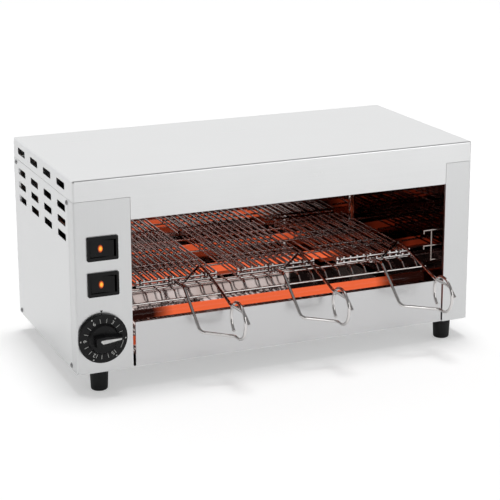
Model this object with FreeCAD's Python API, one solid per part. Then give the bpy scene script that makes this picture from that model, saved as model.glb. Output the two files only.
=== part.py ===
import FreeCAD, Part
import math
import os
from FreeCAD import Vector

# Commercial toaster with three wire tongs, in millimetres, +Z up, front towards -Y.
# Everything is drawn about the centre of the case's footprint with the worktop at z = 0,
# and is moved at the end so that the origin is the bottom centre of the whole toaster.

# Case
case_width = 440.0
case_depth = 216.0
case_height = 197.0
foot_height = 21.0
sheet = 1.0
thin_sheet = 0.8
bend_radius = 2.0
seam = 0.3
lip_height = 21.5
fascia_drop = 44.0
hem_width = 6.0
left_column_width = 58.0
right_column_width = 30.0
corner_return = 17.0
left_jamb = 8.0
right_jamb = 2.5
backing_lap = 12.0
backing_overlap = 3.0
lid_tab = 6.0
rear_flange = 20.0
pan_flange = 12.0
pan_flange_gap = 1.0
corner_relief = 5.0

# Vent slots in the left side
slot_length = 27.0
slot_height = 7.0
slot_corner = 1.5
slot_front_inset = 39.5
slot_rear_inset = 31.6
slot_columns = 4
slot_row_pitch = 14.8
slot_drop = 11.8
slot_rows = 3
lip_slot_drop = 11.0

# Feet and screws
foot_top_diameter = 19.0
foot_bottom_diameter = 17.0
foot_edge = 2.2
foot_inset_x = 25.0
foot_inset_y = 10.5
foot_screw_diameter = 4.0
foot_screw_head = 7.6
foot_screw_head_height = 3.0
foot_screw_end = 2.0
foot_nut_width = 7.0
foot_nut_height = 3.2
case_screw_diameter = 3.0
case_screw_head = 5.6
case_screw_dome = 1.4
case_screw_length = 7.0
case_screw_slot = 0.8
screw_hole_clearance = 0.1
screw_front_inset = 20.0
screw_rear_inset = 9.0
screw_low = 4.2
screw_drop = 4.0
rear_screw_inset = 60.0
rear_screw_low = 6.5

# Heating chamber
chamber_left_inset = 56.8
chamber_right_inset = 36.8
chamber_rear_inset = 10.0
chamber_front_inset = 9.0
reflector_drop = 23.0
chamber_wall_bottom = 1.3

# Quartz tubes
tube_diameter = 10.0
tube_wall = 1.0
element_diameter = 5.6
lead_diameter = 2.4
lead_length = 46.0
lead_end = 2.0
lower_tube_height = 38.5
upper_tube_drop = 14.0
front_tube_inset = 45.0
rear_tube_inset = 40.0
cap_diameter = 14.0
cap_length = 14.0
cap_seat = 8.0
cap_clearance = 0.15
wall_hole_clearance = 0.6

# Wire guards
guard_wire = 1.8
guard_rod = 2.2
guard_pitch = 15.3
guard_left_gap = 7.6
guard_right_gap = 14.0
guard_height = 68.0
guard_front_inset = 14.0
guard_front_rod_height = 60.5
guard_front_run = 7.0
guard_rod_overhang = 2.0
guard_rear_gap = 6.0
guard_cross_insets = (38.0, 92.0, 146.0, 194.0)
guard_cross_hold = 4.0
guard_cross_gap = 2.0
guard_bend = 6.0
upper_guard_gap = 14.0
upper_guard_front_inset = 28.0
weld_depth = 0.25

# Side wire bracket
bracket_wire = 2.0
bracket_inset_y = 11.0
bracket_inset_x = 9.8
bracket_arm = 10.0
bracket_levels = (68.0, 84.0, 101.0)
bracket_hook = 3.6
bracket_hold = 1.5
bracket_tip = 1.0

# Crumb tray
tray_face_low = 1.0
tray_face_high = 47.0
tray_left_gap = 3.0
tray_right_gap = 2.0
tray_wall_height = 12.0
tray_wall_gap = 4.0
tray_rear_gap = 5.0
tray_top_return = 8.0
slide_gap = 0.3

# Tongs
tong_names = ("left", "middle", "right")
tong_hinge_insets = (38.0, 38.0, 31.0)
tong_ring_shifts = (-7.3, -4.5, 0.0)
tong_side_gap = 18.2
jaw_width = 88.0
jaw_rear_gap = 3.8
jaw_bar = 2.2
jaw_wire = 1.8
jaw_wires = 12
jaw_bar_spacing = 4.4
jaw_cross_bars = 4
jaw_wire_inset = 0.1
eye_wire = 2.4
pin_clearance = 0.05
eye_gaps = (0, 4, 9)
handle_rod = 3.2
lever_rod = 3.0
ring_radius = 18.5
ring_x = 2.0
ring_y = -71.0
ring_drop = 29.0
ring_end_angle = 322.0
knee_x = -43.0
knee_y = -18.0
knee_drop = 3.9
corner_x = -41.0
corner_y = -58.0
corner_drop = 40.0
handle_bend = 7.0
handle_root = 3.0
root_behind = 1.0
root_lift = 1.1
ring_entry = 7.0
ring_entry_bend = 5.0
apex_x = -2.0
apex_y = 23.0
apex_bend = 2.6
lever_weld = 0.3
lever_foot_x = -38.0
lever_foot_y = -9.0
lever_foot_z = -0.6
lever_pass_x = -2.4
lever_pass_y = -2.0
lever_pass_z = 0.9
lever_ring_y = -64.0
lever_ring_z = -13.7
lever_ring_x = -3.2
lever_exit_x = 4.4
lever_exit_y = -80.0
lever_exit_z = -18.2
lever_tip_x = 6.2
lever_tip_y = -89.0
lever_tip_z = -28.2
lever_bend = 12.0
hook_reach = 9.0
hook_width = 4.0
hook_x = -53.0
hook_root = 0.5
hook_slack = 0.2

# Rocker switches
switch_inset = 28.6
switch_heights = (127.5, 91.0)
switch_names = ("upper", "lower")
bezel_width = 32.0
bezel_height = 24.6
bezel_thickness = 2.2
bezel_corner = 1.6
bezel_edge = 0.7
cutout_width = 30.0
cutout_height = 22.0
cutout_clearance = 0.2
housing_depth = 24.0
recess_width = 26.6
recess_height = 17.4
recess_depth = 14.0
rocker_width = 23.2
rocker_height = 16.6
rocker_rise = 1.4
rocker_face_slope = 9.0
rocker_tilt = 9.0
rocker_pivot_depth = 6.0
rocker_back = 2.6
rocker_back_width = 8.0
rocker_back_rise = 2.5
rocker_back_taper = 1.0
rocker_pin = 3.0
rocker_pin_length = 2.0
lens_width = 5.0
lens_height = 8.0
lens_depth = 2.5
lens_proud = 0.6
lens_offset = 1.6
lens_edge = 0.4
blade_width = 6.3
blade_thickness = 0.8
blade_length = 8.0
blade_spacing = 9.0

# Timer and its knob
knob_inset = 26.0
knob_height = 36.0
dial_diameter = 50.5
dial_thickness = 2.6
dial_edge = 0.8
dial_gap = 1.4
hub_diameter = 32.0
hub_slope = 2.0
hub_height = 3.0
grip_rear = 9.5
grip_front = 19.3
grip_width = 10.0
grip_tip_width = 3.2
grip_height = 10.0
grip_draft = 1.3
grip_edge = 1.0
grip_angle = 4.0
pointer_start = -5.5
pointer_end = 16.0
pointer_width = 3.8
pointer_tip_width = 1.4
pointer_depth = 0.8
pointer_proud = 0.15
shaft_diameter = 6.0
shaft_flat = 2.0
shaft_length = 24.0
shaft_socket = 6.5
running_clearance = 0.05
timer_width = 44.0
timer_height = 44.0
timer_depth = 28.0
timer_edge = 4.0
timer_bush = 9.6
timer_bush_reach = 0.6
timer_hole_clearance = 0.2
timer_blade_spacing = 28.0
timer_blade_inset = 14.0
timer_screw_spacing = 28.0
timer_screw_diameter = 3.0
timer_screw_length = 7.0
timer_screw_head = 5.5
timer_screw_head_height = 0.9
bell_gap = 1.0
bell_diameter = 34.0
bell_height = 7.0
bell_wall = 0.8
bell_bend = 4.0
bell_post = 6.0

# Electrical parts behind the panels
gland_inset = 28.0
gland_height = 30.0
gland_bore = 8.5
gland_thread = 16.0
gland_thread_end = 3.0
gland_flange = 22.0
gland_reach = 14.0
gland_flange_thickness = 3.0
gland_cap_width = 17.0
gland_cap_corner = 18.6
gland_nut_thickness = 5.0
gland_nut_width = 21.0
gland_hole_clearance = 0.2
block_inset = 6.0
block_length = 36.0
block_depth = 17.0
block_height = 15.0
block_rear_gap = 61.0
block_ways = 3
block_hole_height = 6.0
block_groove = 1.2
block_groove_height = 10.0
terminal_screw = 3.4
terminal_clearance = 0.3
shield_front_inset = 6.0
shield_gap = 4.2
shield_foot = 7.0
shield_top_gap = 2.0
cap_hole_clearance = 1.0
earth_stud_diameter = 4.0
earth_stud_height = 14.0
earth_stud_inset = 39.0
earth_stud_rear_gap = 36.0
earth_nut_width = 7.0
earth_nut_height = 3.2
link_wire = 2.6
link_bend = 6.0
link_reach = 9.0
loom_bend = 4.0
loom_low_reach = 8.0
loom_high_reach = 9.0
loom_rise = 9.0
loom_clear = 6.0
loom_back = 10.0
loom_entry = 2.0
earth_loop = 11.0
block_loop = 20.0

# Derived places
case_bottom = foot_height
half_width = case_width / 2
half_depth = case_depth / 2
case_top = case_bottom + case_height
front = -half_depth
rear = half_depth
panel_top = case_top - lip_height
opening_left = -half_width + left_column_width
opening_right = half_width - right_column_width
fascia_bottom = case_top - fascia_drop
chamber_left = -half_width + chamber_left_inset
chamber_right = half_width - chamber_right_inset
chamber_rear = rear - chamber_rear_inset
chamber_wall_front = front + chamber_front_inset
right_wall_front = front + right_jamb + seam
wall_bottom = case_bottom + chamber_wall_bottom
reflector_z = case_top - reflector_drop
front_tube_y = front + front_tube_inset
rear_tube_y = chamber_rear - rear_tube_inset
lower_tube_z = case_bottom + lower_tube_height
upper_tube_z = reflector_z - upper_tube_drop
guard_z = case_bottom + guard_height
upper_guard_z = upper_tube_z - upper_guard_gap
guard_rear = chamber_rear - guard_rear_gap
guard_front_rod_y = front + guard_front_inset
guard_cross_y = [front + inset for inset in guard_cross_insets]
bracket_y = front + bracket_inset_y
bracket_x = opening_right - bracket_inset_x
switch_x = -half_width + switch_inset
knob_x = -half_width + knob_inset
gland_x = -half_width + gland_inset
block_x = -half_width + block_inset
block_y = rear - block_rear_gap - block_depth
earth_stud_x = -half_width + earth_stud_inset
earth_stud_y = rear - earth_stud_rear_gap
hinge_z = guard_z + guard_wire / 2 + slide_gap + jaw_bar / 2 + jaw_bar_spacing
wire_stack = jaw_bar / 2 + jaw_wire / 2 - weld_depth
apex_z = wire_stack + jaw_wire / 2 + lever_rod / 2 - lever_weld
tray_floor = case_bottom + sheet + slide_gap
tong_pitch = (chamber_right - chamber_left - 2 * tong_side_gap - jaw_width) / (len(tong_names) - 1)
tong_right_edges = [chamber_left + tong_side_gap + jaw_width + i * tong_pitch for i in range(len(tong_names))]
tong_front_y = [front + inset for inset in tong_hinge_insets]
jaw_length = chamber_rear - jaw_rear_gap - jaw_bar - max(tong_front_y)
tong_front_reach = -min(tong_front_y) - ring_y + ring_radius + handle_rod / 2
rear_reach = half_depth + gland_reach
case_shift = (tong_front_reach - rear_reach) / 2


def block(x0, x1, y0, y1, z0, z1):
    """A box between two corners."""
    return Part.makeBox(x1 - x0, y1 - y0, z1 - z0, Vector(x0, y0, z0))


def rod(start, end, diameter):
    """A round bar between two points."""
    a = Vector(*start)
    b = Vector(*end)
    return Part.makeCylinder(diameter / 2, (b - a).Length, a, b - a)


def join(shapes):
    """One solid out of overlapping or touching shapes."""
    return shapes[0].multiFuse(shapes[1:]).removeSplitter()


def round_edges(shape, radius, chosen):
    """Rounds the edges for which chosen(edge) is true."""
    return shape.makeFillet(radius, [e for e in shape.Edges if chosen(e)])


def is_line_along(edge, axis):
    """True for a straight edge along a unit axis."""
    if edge.Curve.TypeId != "Part::GeomLine":
        return False
    way = edge.Vertexes[-1].Point - edge.Vertexes[0].Point
    return abs(abs(way.normalize().dot(axis)) - 1) < 1e-6


def rounded_edges(points, radius):
    """Edges of a bent wire: straight runs joined by tangent arcs at the inner points."""
    corners = [Vector(*p) for p in points]
    edges = []
    start = corners[0]
    for before, here, after in zip(corners, corners[1:], corners[2:]):
        come = (here - before).normalize()
        go = (after - here).normalize()
        turn = come.getAngle(go)
        reach = radius * math.tan(turn / 2)
        inward = (go - come).normalize()
        arc_start = here - come * reach
        arc_end = here + go * reach
        middle = here + inward * (radius / math.cos(turn / 2) - radius)
        edges.append(Part.LineSegment(start, arc_start).toShape())
        edges.append(Part.Arc(arc_start, middle, arc_end).toShape())
        start = arc_end
    edges.append(Part.LineSegment(start, corners[-1]).toShape())
    return edges


def bar_along(edges, diameter):
    """A round wire swept along joined edges."""
    path = Part.Wire(edges)
    first = edges[0]
    way = first.tangentAt(first.FirstParameter)
    ring = Part.Circle(first.valueAt(first.FirstParameter), way, diameter / 2)
    profile = Part.Wire([ring.toShape()])
    swept = path.makePipeShell([profile], True, False)
    return swept if swept.ShapeType == "Solid" else swept.Solids[0]


def bent_wire(points, radius, diameter):
    """A round wire through points, with bends of one radius."""
    return bar_along(rounded_edges(points, radius), diameter)


def slot_cutter(y, z, x0, x1):
    """A vent slot with round corners, cut along X."""
    half_y = slot_length / 2
    half_z = slot_height / 2
    cutter = block(x0, x1, y - half_y, y + half_y, z - half_z, z + half_z)
    return round_edges(cutter, slot_corner, lambda e: is_line_along(e, Vector(1, 0, 0)))


def slot_centres_y():
    """Places of the vent slots from front to rear."""
    pitch = (case_depth - slot_front_inset - slot_rear_inset) / (slot_columns - 1)
    return [front + slot_front_inset + i * pitch for i in range(slot_columns)]


def hexagon(centre, axis, width, height):
    """A hexagon nut or head, width across flats."""
    corner = width / math.sqrt(3)
    ring = Part.makePolygon([
        Vector(corner * math.cos(math.radians(60 * i)), corner * math.sin(math.radians(60 * i)), 0)
        for i in range(7)])
    solid = Part.Face(ring).extrude(Vector(0, 0, height))
    turn = FreeCAD.Rotation(Vector(0, 0, 1), Vector(*axis))
    solid.Placement = FreeCAD.Placement(Vector(*centre), turn)
    return solid


def dome_screw(base, out):
    """A small domed screw with a straight slot: its head outside the panel, its shank going in."""
    radius = case_screw_head / 2
    sphere_radius = (radius ** 2 + case_screw_dome ** 2) / (2 * case_screw_dome)
    ball = Part.makeSphere(sphere_radius, Vector(0, 0, case_screw_dome - sphere_radius))
    head = ball.common(Part.makeCylinder(radius, case_screw_dome + 1))
    slot = block(-radius - 1, radius + 1, -case_screw_slot / 2, case_screw_slot / 2,
                 case_screw_dome - case_screw_slot, case_screw_dome + 1)
    shank = Part.makeCylinder(case_screw_diameter / 2, case_screw_length, Vector(0, 0, 0), Vector(0, 0, -1))
    screw = join([head.cut(slot), shank])
    screw.Placement = FreeCAD.Placement(Vector(*base), FreeCAD.Rotation(Vector(0, 0, 1), Vector(*out)))
    return screw


def screw_places():
    """The y and z of the side screws."""
    y_front = front + screw_front_inset
    y_rear = rear - screw_rear_inset
    low = case_bottom + screw_low
    high = panel_top - screw_drop
    return [(y_front, low), (y_front, high), (y_rear, low), (y_rear, high)]


def rear_screw_places():
    """The x and z of the rear panel's screws, along the base pan's flange."""
    reach = half_width - rear_screw_inset
    return [(x, case_bottom + rear_screw_low) for x in (-reach, 0.0, reach)]


def screw_holes(side, x0, x1):
    """Cutters for the side screws through sheets between x0 and x1."""
    lo, hi = sorted((side * x0, side * x1))
    return [rod((lo, y, z), (hi, y, z), case_screw_diameter + screw_hole_clearance) for y, z in screw_places()]


def side_screw_holes():
    """Cutters for the side screws of both sides, through all the sheets behind the panels."""
    deep = half_width - case_screw_length - sheet
    return screw_holes(-1, deep, half_width) + screw_holes(1, deep, half_width)


def base_pan():
    """The floor sheet with flanges inside the side and rear panels."""
    inner = half_width - sheet
    back = rear - sheet
    flange_start = front + corner_return + backing_lap + pan_flange_gap
    floor = block(-inner, inner, front + sheet + seam, back, case_bottom, case_bottom + sheet)
    outer = block(-inner, inner, flange_start, back, case_bottom, case_bottom + pan_flange)
    hollow = block(-inner + sheet, inner - sheet, front, back - sheet, case_bottom, case_top)
    pan = join([floor, outer.cut(hollow)])
    above = case_bottom + 2 * sheet
    tools = [rod((x, y, case_bottom - 1), (x, y, above), foot_screw_diameter + 2 * screw_hole_clearance)
             for x, y in foot_places()]
    stud = (earth_stud_x, earth_stud_y)
    tools.append(rod((*stud, case_bottom - 1), (*stud, above), earth_stud_diameter + screw_hole_clearance))
    tools.extend(rod((x, rear - 3 * sheet, y), (x, rear, y), case_screw_diameter + screw_hole_clearance)
                 for x, y in rear_screw_places())
    tools.extend(side_screw_holes())
    return pan.cut(tools)


def column(side, inner_x, jamb):
    """A front column: face, return round the corner, jamb beside the opening and backing strip."""
    out = side * half_width
    x0, x1 = sorted((out, inner_x))
    outer = block(x0, x1, front, front + corner_return, case_bottom, panel_top)
    outer = round_edges(outer, bend_radius, lambda e: is_line_along(e, Vector(0, 0, 1))
                        and abs(e.Vertexes[0].X - out) < 1e-6 and abs(e.Vertexes[0].Y - front) < 1e-6)
    inside_x0, inside_x1 = sorted((out - side * sheet, inner_x + side * sheet))
    hollow = block(inside_x0, inside_x1, front + sheet, rear, 0, case_top + 1)
    jamb_x0, jamb_x1 = sorted((inner_x - side * sheet, inner_x + 2 * side * sheet))
    jamb_cut = block(jamb_x0, jamb_x1, front + jamb, rear, 0, case_top + 1)
    jamb_foot = block(jamb_x0, jamb_x1, front + sheet, rear, 0, case_bottom + sheet + seam)
    panel = outer.cut([hollow, jamb_cut, jamb_foot])
    strip_x0, strip_x1 = sorted((out - side * sheet, out - 2 * side * sheet))
    join_y = front + corner_return
    strip = block(strip_x0, strip_x1, join_y - backing_overlap, join_y + backing_lap,
                  case_bottom + sheet + seam, panel_top + lid_tab)
    relief = block(*sorted((out, out - side * corner_relief)), front - sheet, front + sheet,
                   case_bottom, case_bottom + corner_relief)
    centre_x = out - side * corner_relief
    centre_z = case_bottom + corner_relief
    relief = relief.cut(rod((centre_x, front - 2 * sheet, centre_z), (centre_x, front + 2 * sheet, centre_z),
                            2 * corner_relief))
    return join([panel, strip]).cut([relief] + side_screw_holes())


def control_panel():
    """The left column with its cut-outs for two rocker switches and the timer."""
    panel = column(-1, opening_left, left_jamb)
    y0 = front - sheet
    y1 = front + 2 * sheet
    tools = []
    for height in switch_heights:
        z = case_bottom + height
        tools.append(block(switch_x - cutout_width / 2, switch_x + cutout_width / 2,
                           y0, y1, z - cutout_height / 2, z + cutout_height / 2))
    z = case_bottom + knob_height
    tools.append(rod((knob_x, y0, z), (knob_x, y1, z), timer_bush + 2 * timer_hole_clearance))
    for x in timer_screw_places():
        tools.append(rod((x, y0, z), (x, y1, z), timer_screw_diameter + timer_hole_clearance))
    return panel.cut(tools)


def right_column():
    """The plain right column."""
    return column(1, opening_right, right_jamb)


def side_panel(side):
    """A flat side panel between the front column's return and the rear edge."""
    x0, x1 = sorted((side * half_width, side * (half_width - sheet)))
    panel = block(x0, x1, front + corner_return + seam, rear, case_bottom, panel_top)
    tools = screw_holes(side, half_width - 2 * sheet, half_width + sheet)
    if side < 0:
        for row in range(slot_rows):
            z = panel_top - slot_drop - row * slot_row_pitch
            tools.extend(slot_cutter(y, z, x0 - 1, x1 + 1) for y in slot_centres_y())
    return panel.cut(tools)


def rear_panel():
    """The rear panel with forward flanges that back the side panels, and the gland's hole."""
    inner = half_width - sheet
    back = rear - sheet
    plate = block(-inner, inner, back, rear, case_bottom, panel_top)
    flange_low = case_bottom + pan_flange + pan_flange_gap
    parts = [plate]
    for x0, x1 in ((-inner, -inner + sheet), (inner - sheet, inner)):
        parts.append(block(x0, x1, back - rear_flange, back, flange_low, panel_top - sheet))
        parts.append(block(x0, x1, back - rear_flange + sheet, back - 3 * sheet,
                           panel_top - 2 * sheet, panel_top + lid_tab))
    z = case_bottom + gland_height
    y0 = rear - 2 * sheet
    y1 = rear + sheet
    tools = [rod((gland_x, y0, z), (gland_x, y1, z), gland_thread + 2 * gland_hole_clearance)]
    tools.extend(rod((x, y0, y), (x, y1, y), case_screw_diameter + screw_hole_clearance)
                 for x, y in rear_screw_places())
    return join(parts).cut(tools + side_screw_holes())


def top_cover():
    """The lid: top, four lips, the fascia over the opening with its hem, and vent slots on the left."""
    outer = block(-half_width, half_width, front, rear, panel_top + seam, case_top)
    outer = round_edges(outer, bend_radius, lambda e: is_line_along(e, Vector(0, 0, 1))
                        or (abs(e.Vertexes[0].Z - case_top) < 1e-6 and abs(e.Vertexes[-1].Z - case_top) < 1e-6))
    hollow = block(-half_width + sheet, half_width - sheet, front + sheet, rear - sheet,
                   case_bottom, case_top - sheet)
    hollow = round_edges(hollow, bend_radius - sheet, lambda e: is_line_along(e, Vector(0, 0, 1))
                         or (abs(e.Vertexes[0].Z - (case_top - sheet)) < 1e-6
                             and abs(e.Vertexes[-1].Z - (case_top - sheet)) < 1e-6))
    lid = outer.cut(hollow)
    x0 = opening_left + seam
    x1 = opening_right - seam
    fascia = block(x0, x1, front, front + sheet, fascia_bottom, panel_top + sheet)
    hem = block(x0, x1, front, front + hem_width, fascia_bottom, fascia_bottom + sheet)
    lid = join([lid, fascia, hem])
    z = case_top - lip_slot_drop
    slots = [slot_cutter(y, z, -half_width - sheet, -half_width + 2 * sheet) for y in slot_centres_y()]
    return lid.cut(slots)


def tube_places():
    """Name, y and z of the four tubes."""
    return [("lower_front", front_tube_y, lower_tube_z), ("lower_rear", rear_tube_y, lower_tube_z),
            ("upper_front", front_tube_y, upper_tube_z), ("upper_rear", rear_tube_y, upper_tube_z)]


def guard_cross_height():
    """Height of the cross rods under the lower guard's wires."""
    return guard_z - guard_wire / 2 - guard_rod / 2 + weld_depth


def upper_cross_height():
    """Height of the cross rods over the upper guard's wires."""
    return upper_guard_z + guard_wire / 2 + guard_rod / 2 - weld_depth


def wall_tools(x0, x1):
    """Holes in a chamber side wall for the tubes and for the guards' cross rods."""
    tools = [rod((x0, y, z), (x1, y, z), tube_diameter + 2 * wall_hole_clearance)
             for name, y, z in tube_places()]
    for z in (guard_cross_height(), upper_cross_height()):
        for y in (guard_cross_y[0], guard_cross_y[-1]):
            tools.append(rod((x0, y, z), (x1, y, z), guard_rod + wall_hole_clearance))
    return tools


def left_chamber_wall():
    """The chamber's left wall, behind the opening's jamb."""
    x0 = chamber_left - thin_sheet
    wall = block(x0, chamber_left, chamber_wall_front, chamber_rear + thin_sheet, wall_bottom, reflector_z)
    return wall.cut(wall_tools(x0 - 1, chamber_left + 1))


def right_wall_x(y):
    """The inner face of the right wall, which runs from the column's edge a little inwards to the rear."""
    share = (y - right_wall_front) / (chamber_rear - right_wall_front)
    return opening_right + share * (chamber_right - opening_right)


def right_chamber_wall():
    """The chamber's right wall, flush with the column at the front and drawn in at the rear."""
    plan = Part.makePolygon([
        Vector(opening_right, right_wall_front, wall_bottom), Vector(chamber_right, chamber_rear, wall_bottom),
        Vector(chamber_right + thin_sheet, chamber_rear, wall_bottom),
        Vector(opening_right + thin_sheet, right_wall_front, wall_bottom),
        Vector(opening_right, right_wall_front, wall_bottom)])
    wall = Part.Face(plan).extrude(Vector(0, 0, reflector_z - wall_bottom))
    x0 = chamber_right - 1
    x1 = opening_right + thin_sheet + 1
    tools = wall_tools(x0, x1)
    for level in bracket_levels:
        z = case_bottom + level
        tools.append(rod((x0, bracket_y, z), (x1, bracket_y, z), bracket_wire + wall_hole_clearance))
    return wall.cut(tools)


def rear_chamber_wall():
    """The chamber's rear wall, which mirrors the tongs."""
    return block(chamber_left, chamber_right + thin_sheet, chamber_rear, chamber_rear + thin_sheet,
                 wall_bottom, reflector_z)


def upper_reflector():
    """The bright sheet over the upper tubes, resting on the chamber walls."""
    plate = block(chamber_left - thin_sheet, opening_right + thin_sheet, chamber_wall_front,
                  chamber_rear + thin_sheet, reflector_z, reflector_z + thin_sheet)
    tongue = block(opening_left + seam, opening_right - seam, front + sheet + seam,
                   chamber_wall_front + sheet, reflector_z, reflector_z + thin_sheet)
    return join([plate, tongue])


def guard_x():
    """Places of the guards' lengthwise wires."""
    first = chamber_left + guard_left_gap
    count = int((chamber_right - guard_right_gap - first) / guard_pitch) + 1
    return [first + i * guard_pitch for i in range(count)]


def guard_cross_rods(z):
    """A guard's cross rods: the first and last are held in the walls, the others stop short of them."""
    rods = []
    for y in guard_cross_y:
        reach = guard_cross_hold if y in (guard_cross_y[0], guard_cross_y[-1]) else -guard_cross_gap
        rods.append(rod((chamber_left - reach, y, z), (right_wall_x(y) + reach, y, z), guard_rod))
    return rods


def lower_wire_guard():
    """The lower guard: lengthwise wires bent down to a front rod, on cross rods held by the walls."""
    rod_z = case_bottom + guard_front_rod_height
    parts = []
    for x in guard_x():
        parts.append(bent_wire([(x, guard_rear, guard_z), (x, guard_front_rod_y + guard_front_run, guard_z),
                                (x, guard_front_rod_y, rod_z)], guard_bend, guard_wire))
    rod_end = right_wall_x(guard_front_rod_y) - guard_right_gap
    parts.append(rod((guard_x()[0] - guard_rod_overhang, guard_front_rod_y, rod_z),
                     (rod_end, guard_front_rod_y, rod_z), guard_rod))
    return join(parts + guard_cross_rods(guard_cross_height()))


def upper_wire_guard():
    """The guard that keeps the tongs off the upper tubes."""
    start = front + upper_guard_front_inset
    parts = [rod((x, start, upper_guard_z), (x, guard_rear, upper_guard_z), guard_wire) for x in guard_x()]
    return join(parts + guard_cross_rods(upper_cross_height()))


def side_wire_bracket():
    """A wire upright with short hooked arms, held in the right chamber wall."""
    low = case_bottom + min(bracket_levels) - bracket_tip
    high = case_bottom + max(bracket_levels) + bracket_tip
    parts = [rod((bracket_x, bracket_y, low), (bracket_x, bracket_y, high), bracket_wire)]
    into_wall = right_wall_x(bracket_y) + thin_sheet + bracket_hold
    for level in bracket_levels:
        z = case_bottom + level
        hooked = level > min(bracket_levels)
        start = bracket_x - bracket_arm if hooked else bracket_x
        parts.append(rod((start, bracket_y, z), (into_wall, bracket_y, z), bracket_wire))
        if hooked:
            hook_at = start + bracket_wire / 2
            parts.append(rod((hook_at, bracket_y, z), (hook_at, bracket_y, z - bracket_hook),
                             bracket_wire - weld_depth))
    return join(parts)


def tube_span(y):
    """The x of a tube's two ends, inside its end caps."""
    return chamber_left - thin_sheet - cap_seat, right_wall_x(y) + thin_sheet + cap_seat


def lead_reach():
    """How far an element's lead stands out of its tube's end."""
    return cap_length - cap_seat + lead_end


def quartz_tube(y, z):
    """One quartz tube, open at both ends."""
    x0, x1 = tube_span(y)
    outer = rod((x0, y, z), (x1, y, z), tube_diameter)
    return outer.cut(rod((x0 - 1, y, z), (x1 + 1, y, z), tube_diameter - 2 * tube_wall))


def heating_element(y, z):
    """A wound element as a rod of its outer size, on a thinner lead at each end."""
    x0, x1 = tube_span(y)
    lead = rod((x0 - lead_reach(), y, z), (x1 + lead_reach(), y, z), lead_diameter)
    coil = rod((x0 + lead_length, y, z), (x1 - lead_length, y, z), element_diameter)
    return join([lead, coil])


def end_caps():
    """Eight ceramic caps that hold the tubes' ends outside the chamber walls."""
    lean = (opening_right - chamber_right) / (chamber_rear - right_wall_front)
    caps = []
    for name, y, z in tube_places():
        right_face = right_wall_x(y) + thin_sheet + lean * cap_diameter / 2
        for wall_face, side in ((chamber_left - thin_sheet, -1), (right_face, 1)):
            face = wall_face + side * cap_clearance
            end = wall_face + side * cap_length
            cap = rod((face, y, z), (end, y, z), cap_diameter)
            seat = rod((face - side, y, z), (wall_face + side * cap_seat, y, z),
                       tube_diameter + 2 * cap_clearance)
            bore = rod((face - side, y, z), (end + side, y, z), lead_diameter + 2 * cap_clearance)
            caps.append(cap.cut([seat, bore]))
    return caps


def crumb_tray():
    """The tray with its front panel, which slides out under the lower tubes."""
    x0 = opening_left + tray_left_gap
    x1 = opening_right - tray_right_gap
    low = case_bottom + tray_face_low
    high = case_bottom + tray_face_high
    face = block(x0, x1, front, front + sheet, low, high)
    top_return = block(x0, x1, front, front + tray_top_return, high - sheet, high)
    left = chamber_left + tray_wall_gap
    right = chamber_right - tray_wall_gap
    back = chamber_rear - tray_rear_gap
    outer = block(left, right, front + sheet / 2, back, tray_floor, tray_floor + tray_wall_height)
    hollow = block(left + thin_sheet, right - thin_sheet, front + sheet / 2, back - thin_sheet,
                   tray_floor + thin_sheet, case_top)
    return join([face, top_return, outer.cut(hollow)])


def jaw_x():
    """Places of a jaw's lengthwise wires, from its right edge leftwards to its left edge."""
    step = (jaw_width - jaw_wire) / (jaw_wires - 1)
    return [-jaw_width + jaw_wire / 2 + i * step for i in range(jaw_wires)]


def jaw_grid(bar_z, wire_z):
    """One wire jaw: cross bars and lengthwise wires, about the hinge."""
    parts = []
    step = jaw_length / (jaw_cross_bars - 1)
    for i in range(jaw_cross_bars):
        parts.append(rod((-jaw_width, i * step, bar_z), (0, i * step, bar_z), jaw_bar))
    start = -jaw_bar / 2 + jaw_wire_inset
    for x in jaw_x():
        parts.append(rod((x, start, wire_z), (x, jaw_length + jaw_bar, wire_z), jaw_wire))
    return parts


def handle_wire(shift):
    """The lower jaw's handle: root, knee, front corner, front bar and the ring."""
    root_z = -jaw_bar_spacing + root_lift
    bottom_z = -ring_drop - ring_radius
    x = ring_x + shift
    points = [(knee_x - handle_root, root_behind, root_z), (knee_x, knee_y, -knee_drop),
              (corner_x, corner_y, -corner_drop), (x, ring_y + ring_entry, bottom_z), (x, ring_y, bottom_z)]
    straight = rounded_edges(points[:4], handle_bend)
    last = rounded_edges(points[2:], ring_entry_bend)
    cut_start = straight[-1].valueAt(straight[-1].FirstParameter)
    arc_start = last[1].valueAt(last[1].FirstParameter)
    straight[-1] = Part.LineSegment(cut_start, arc_start).toShape()

    def on_ring(angle):
        turn = math.radians(angle)
        return Vector(x, ring_y - ring_radius * math.sin(turn), -ring_drop - ring_radius * math.cos(turn))

    half = ring_end_angle / 2
    ring = [Part.Arc(on_ring(0), on_ring(half / 2), on_ring(half)).toShape(),
            Part.Arc(on_ring(half), on_ring(1.5 * half), on_ring(ring_end_angle)).toShape()]
    return bar_along(straight + last[1:] + ring, handle_rod)


def lower_jaw(shift):
    """Lower jaw with its handle, hinge eyes and small hook, about the hinge axis."""
    bar_z = -jaw_bar_spacing
    parts = jaw_grid(bar_z, bar_z + wire_stack)
    parts.append(handle_wire(shift))
    eye_radius = jaw_bar / 2 + pin_clearance + eye_wire / 2
    xs = jaw_x()
    for gap in eye_gaps:
        middle = (xs[gap] + xs[gap + 1]) / 2
        parts.append(Part.makeTorus(eye_radius, eye_wire / 2, Vector(middle, 0, 0), Vector(1, 0, 0)))
    hook_end = hook_x + hook_width
    parts.append(bent_wire([(hook_x, hook_root, bar_z), (hook_x, -hook_reach, bar_z),
                            (hook_end, -hook_reach, bar_z), (hook_end, hook_root, bar_z)],
                           hook_width / 2 - hook_slack, jaw_wire))
    return join(parts)


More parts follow.
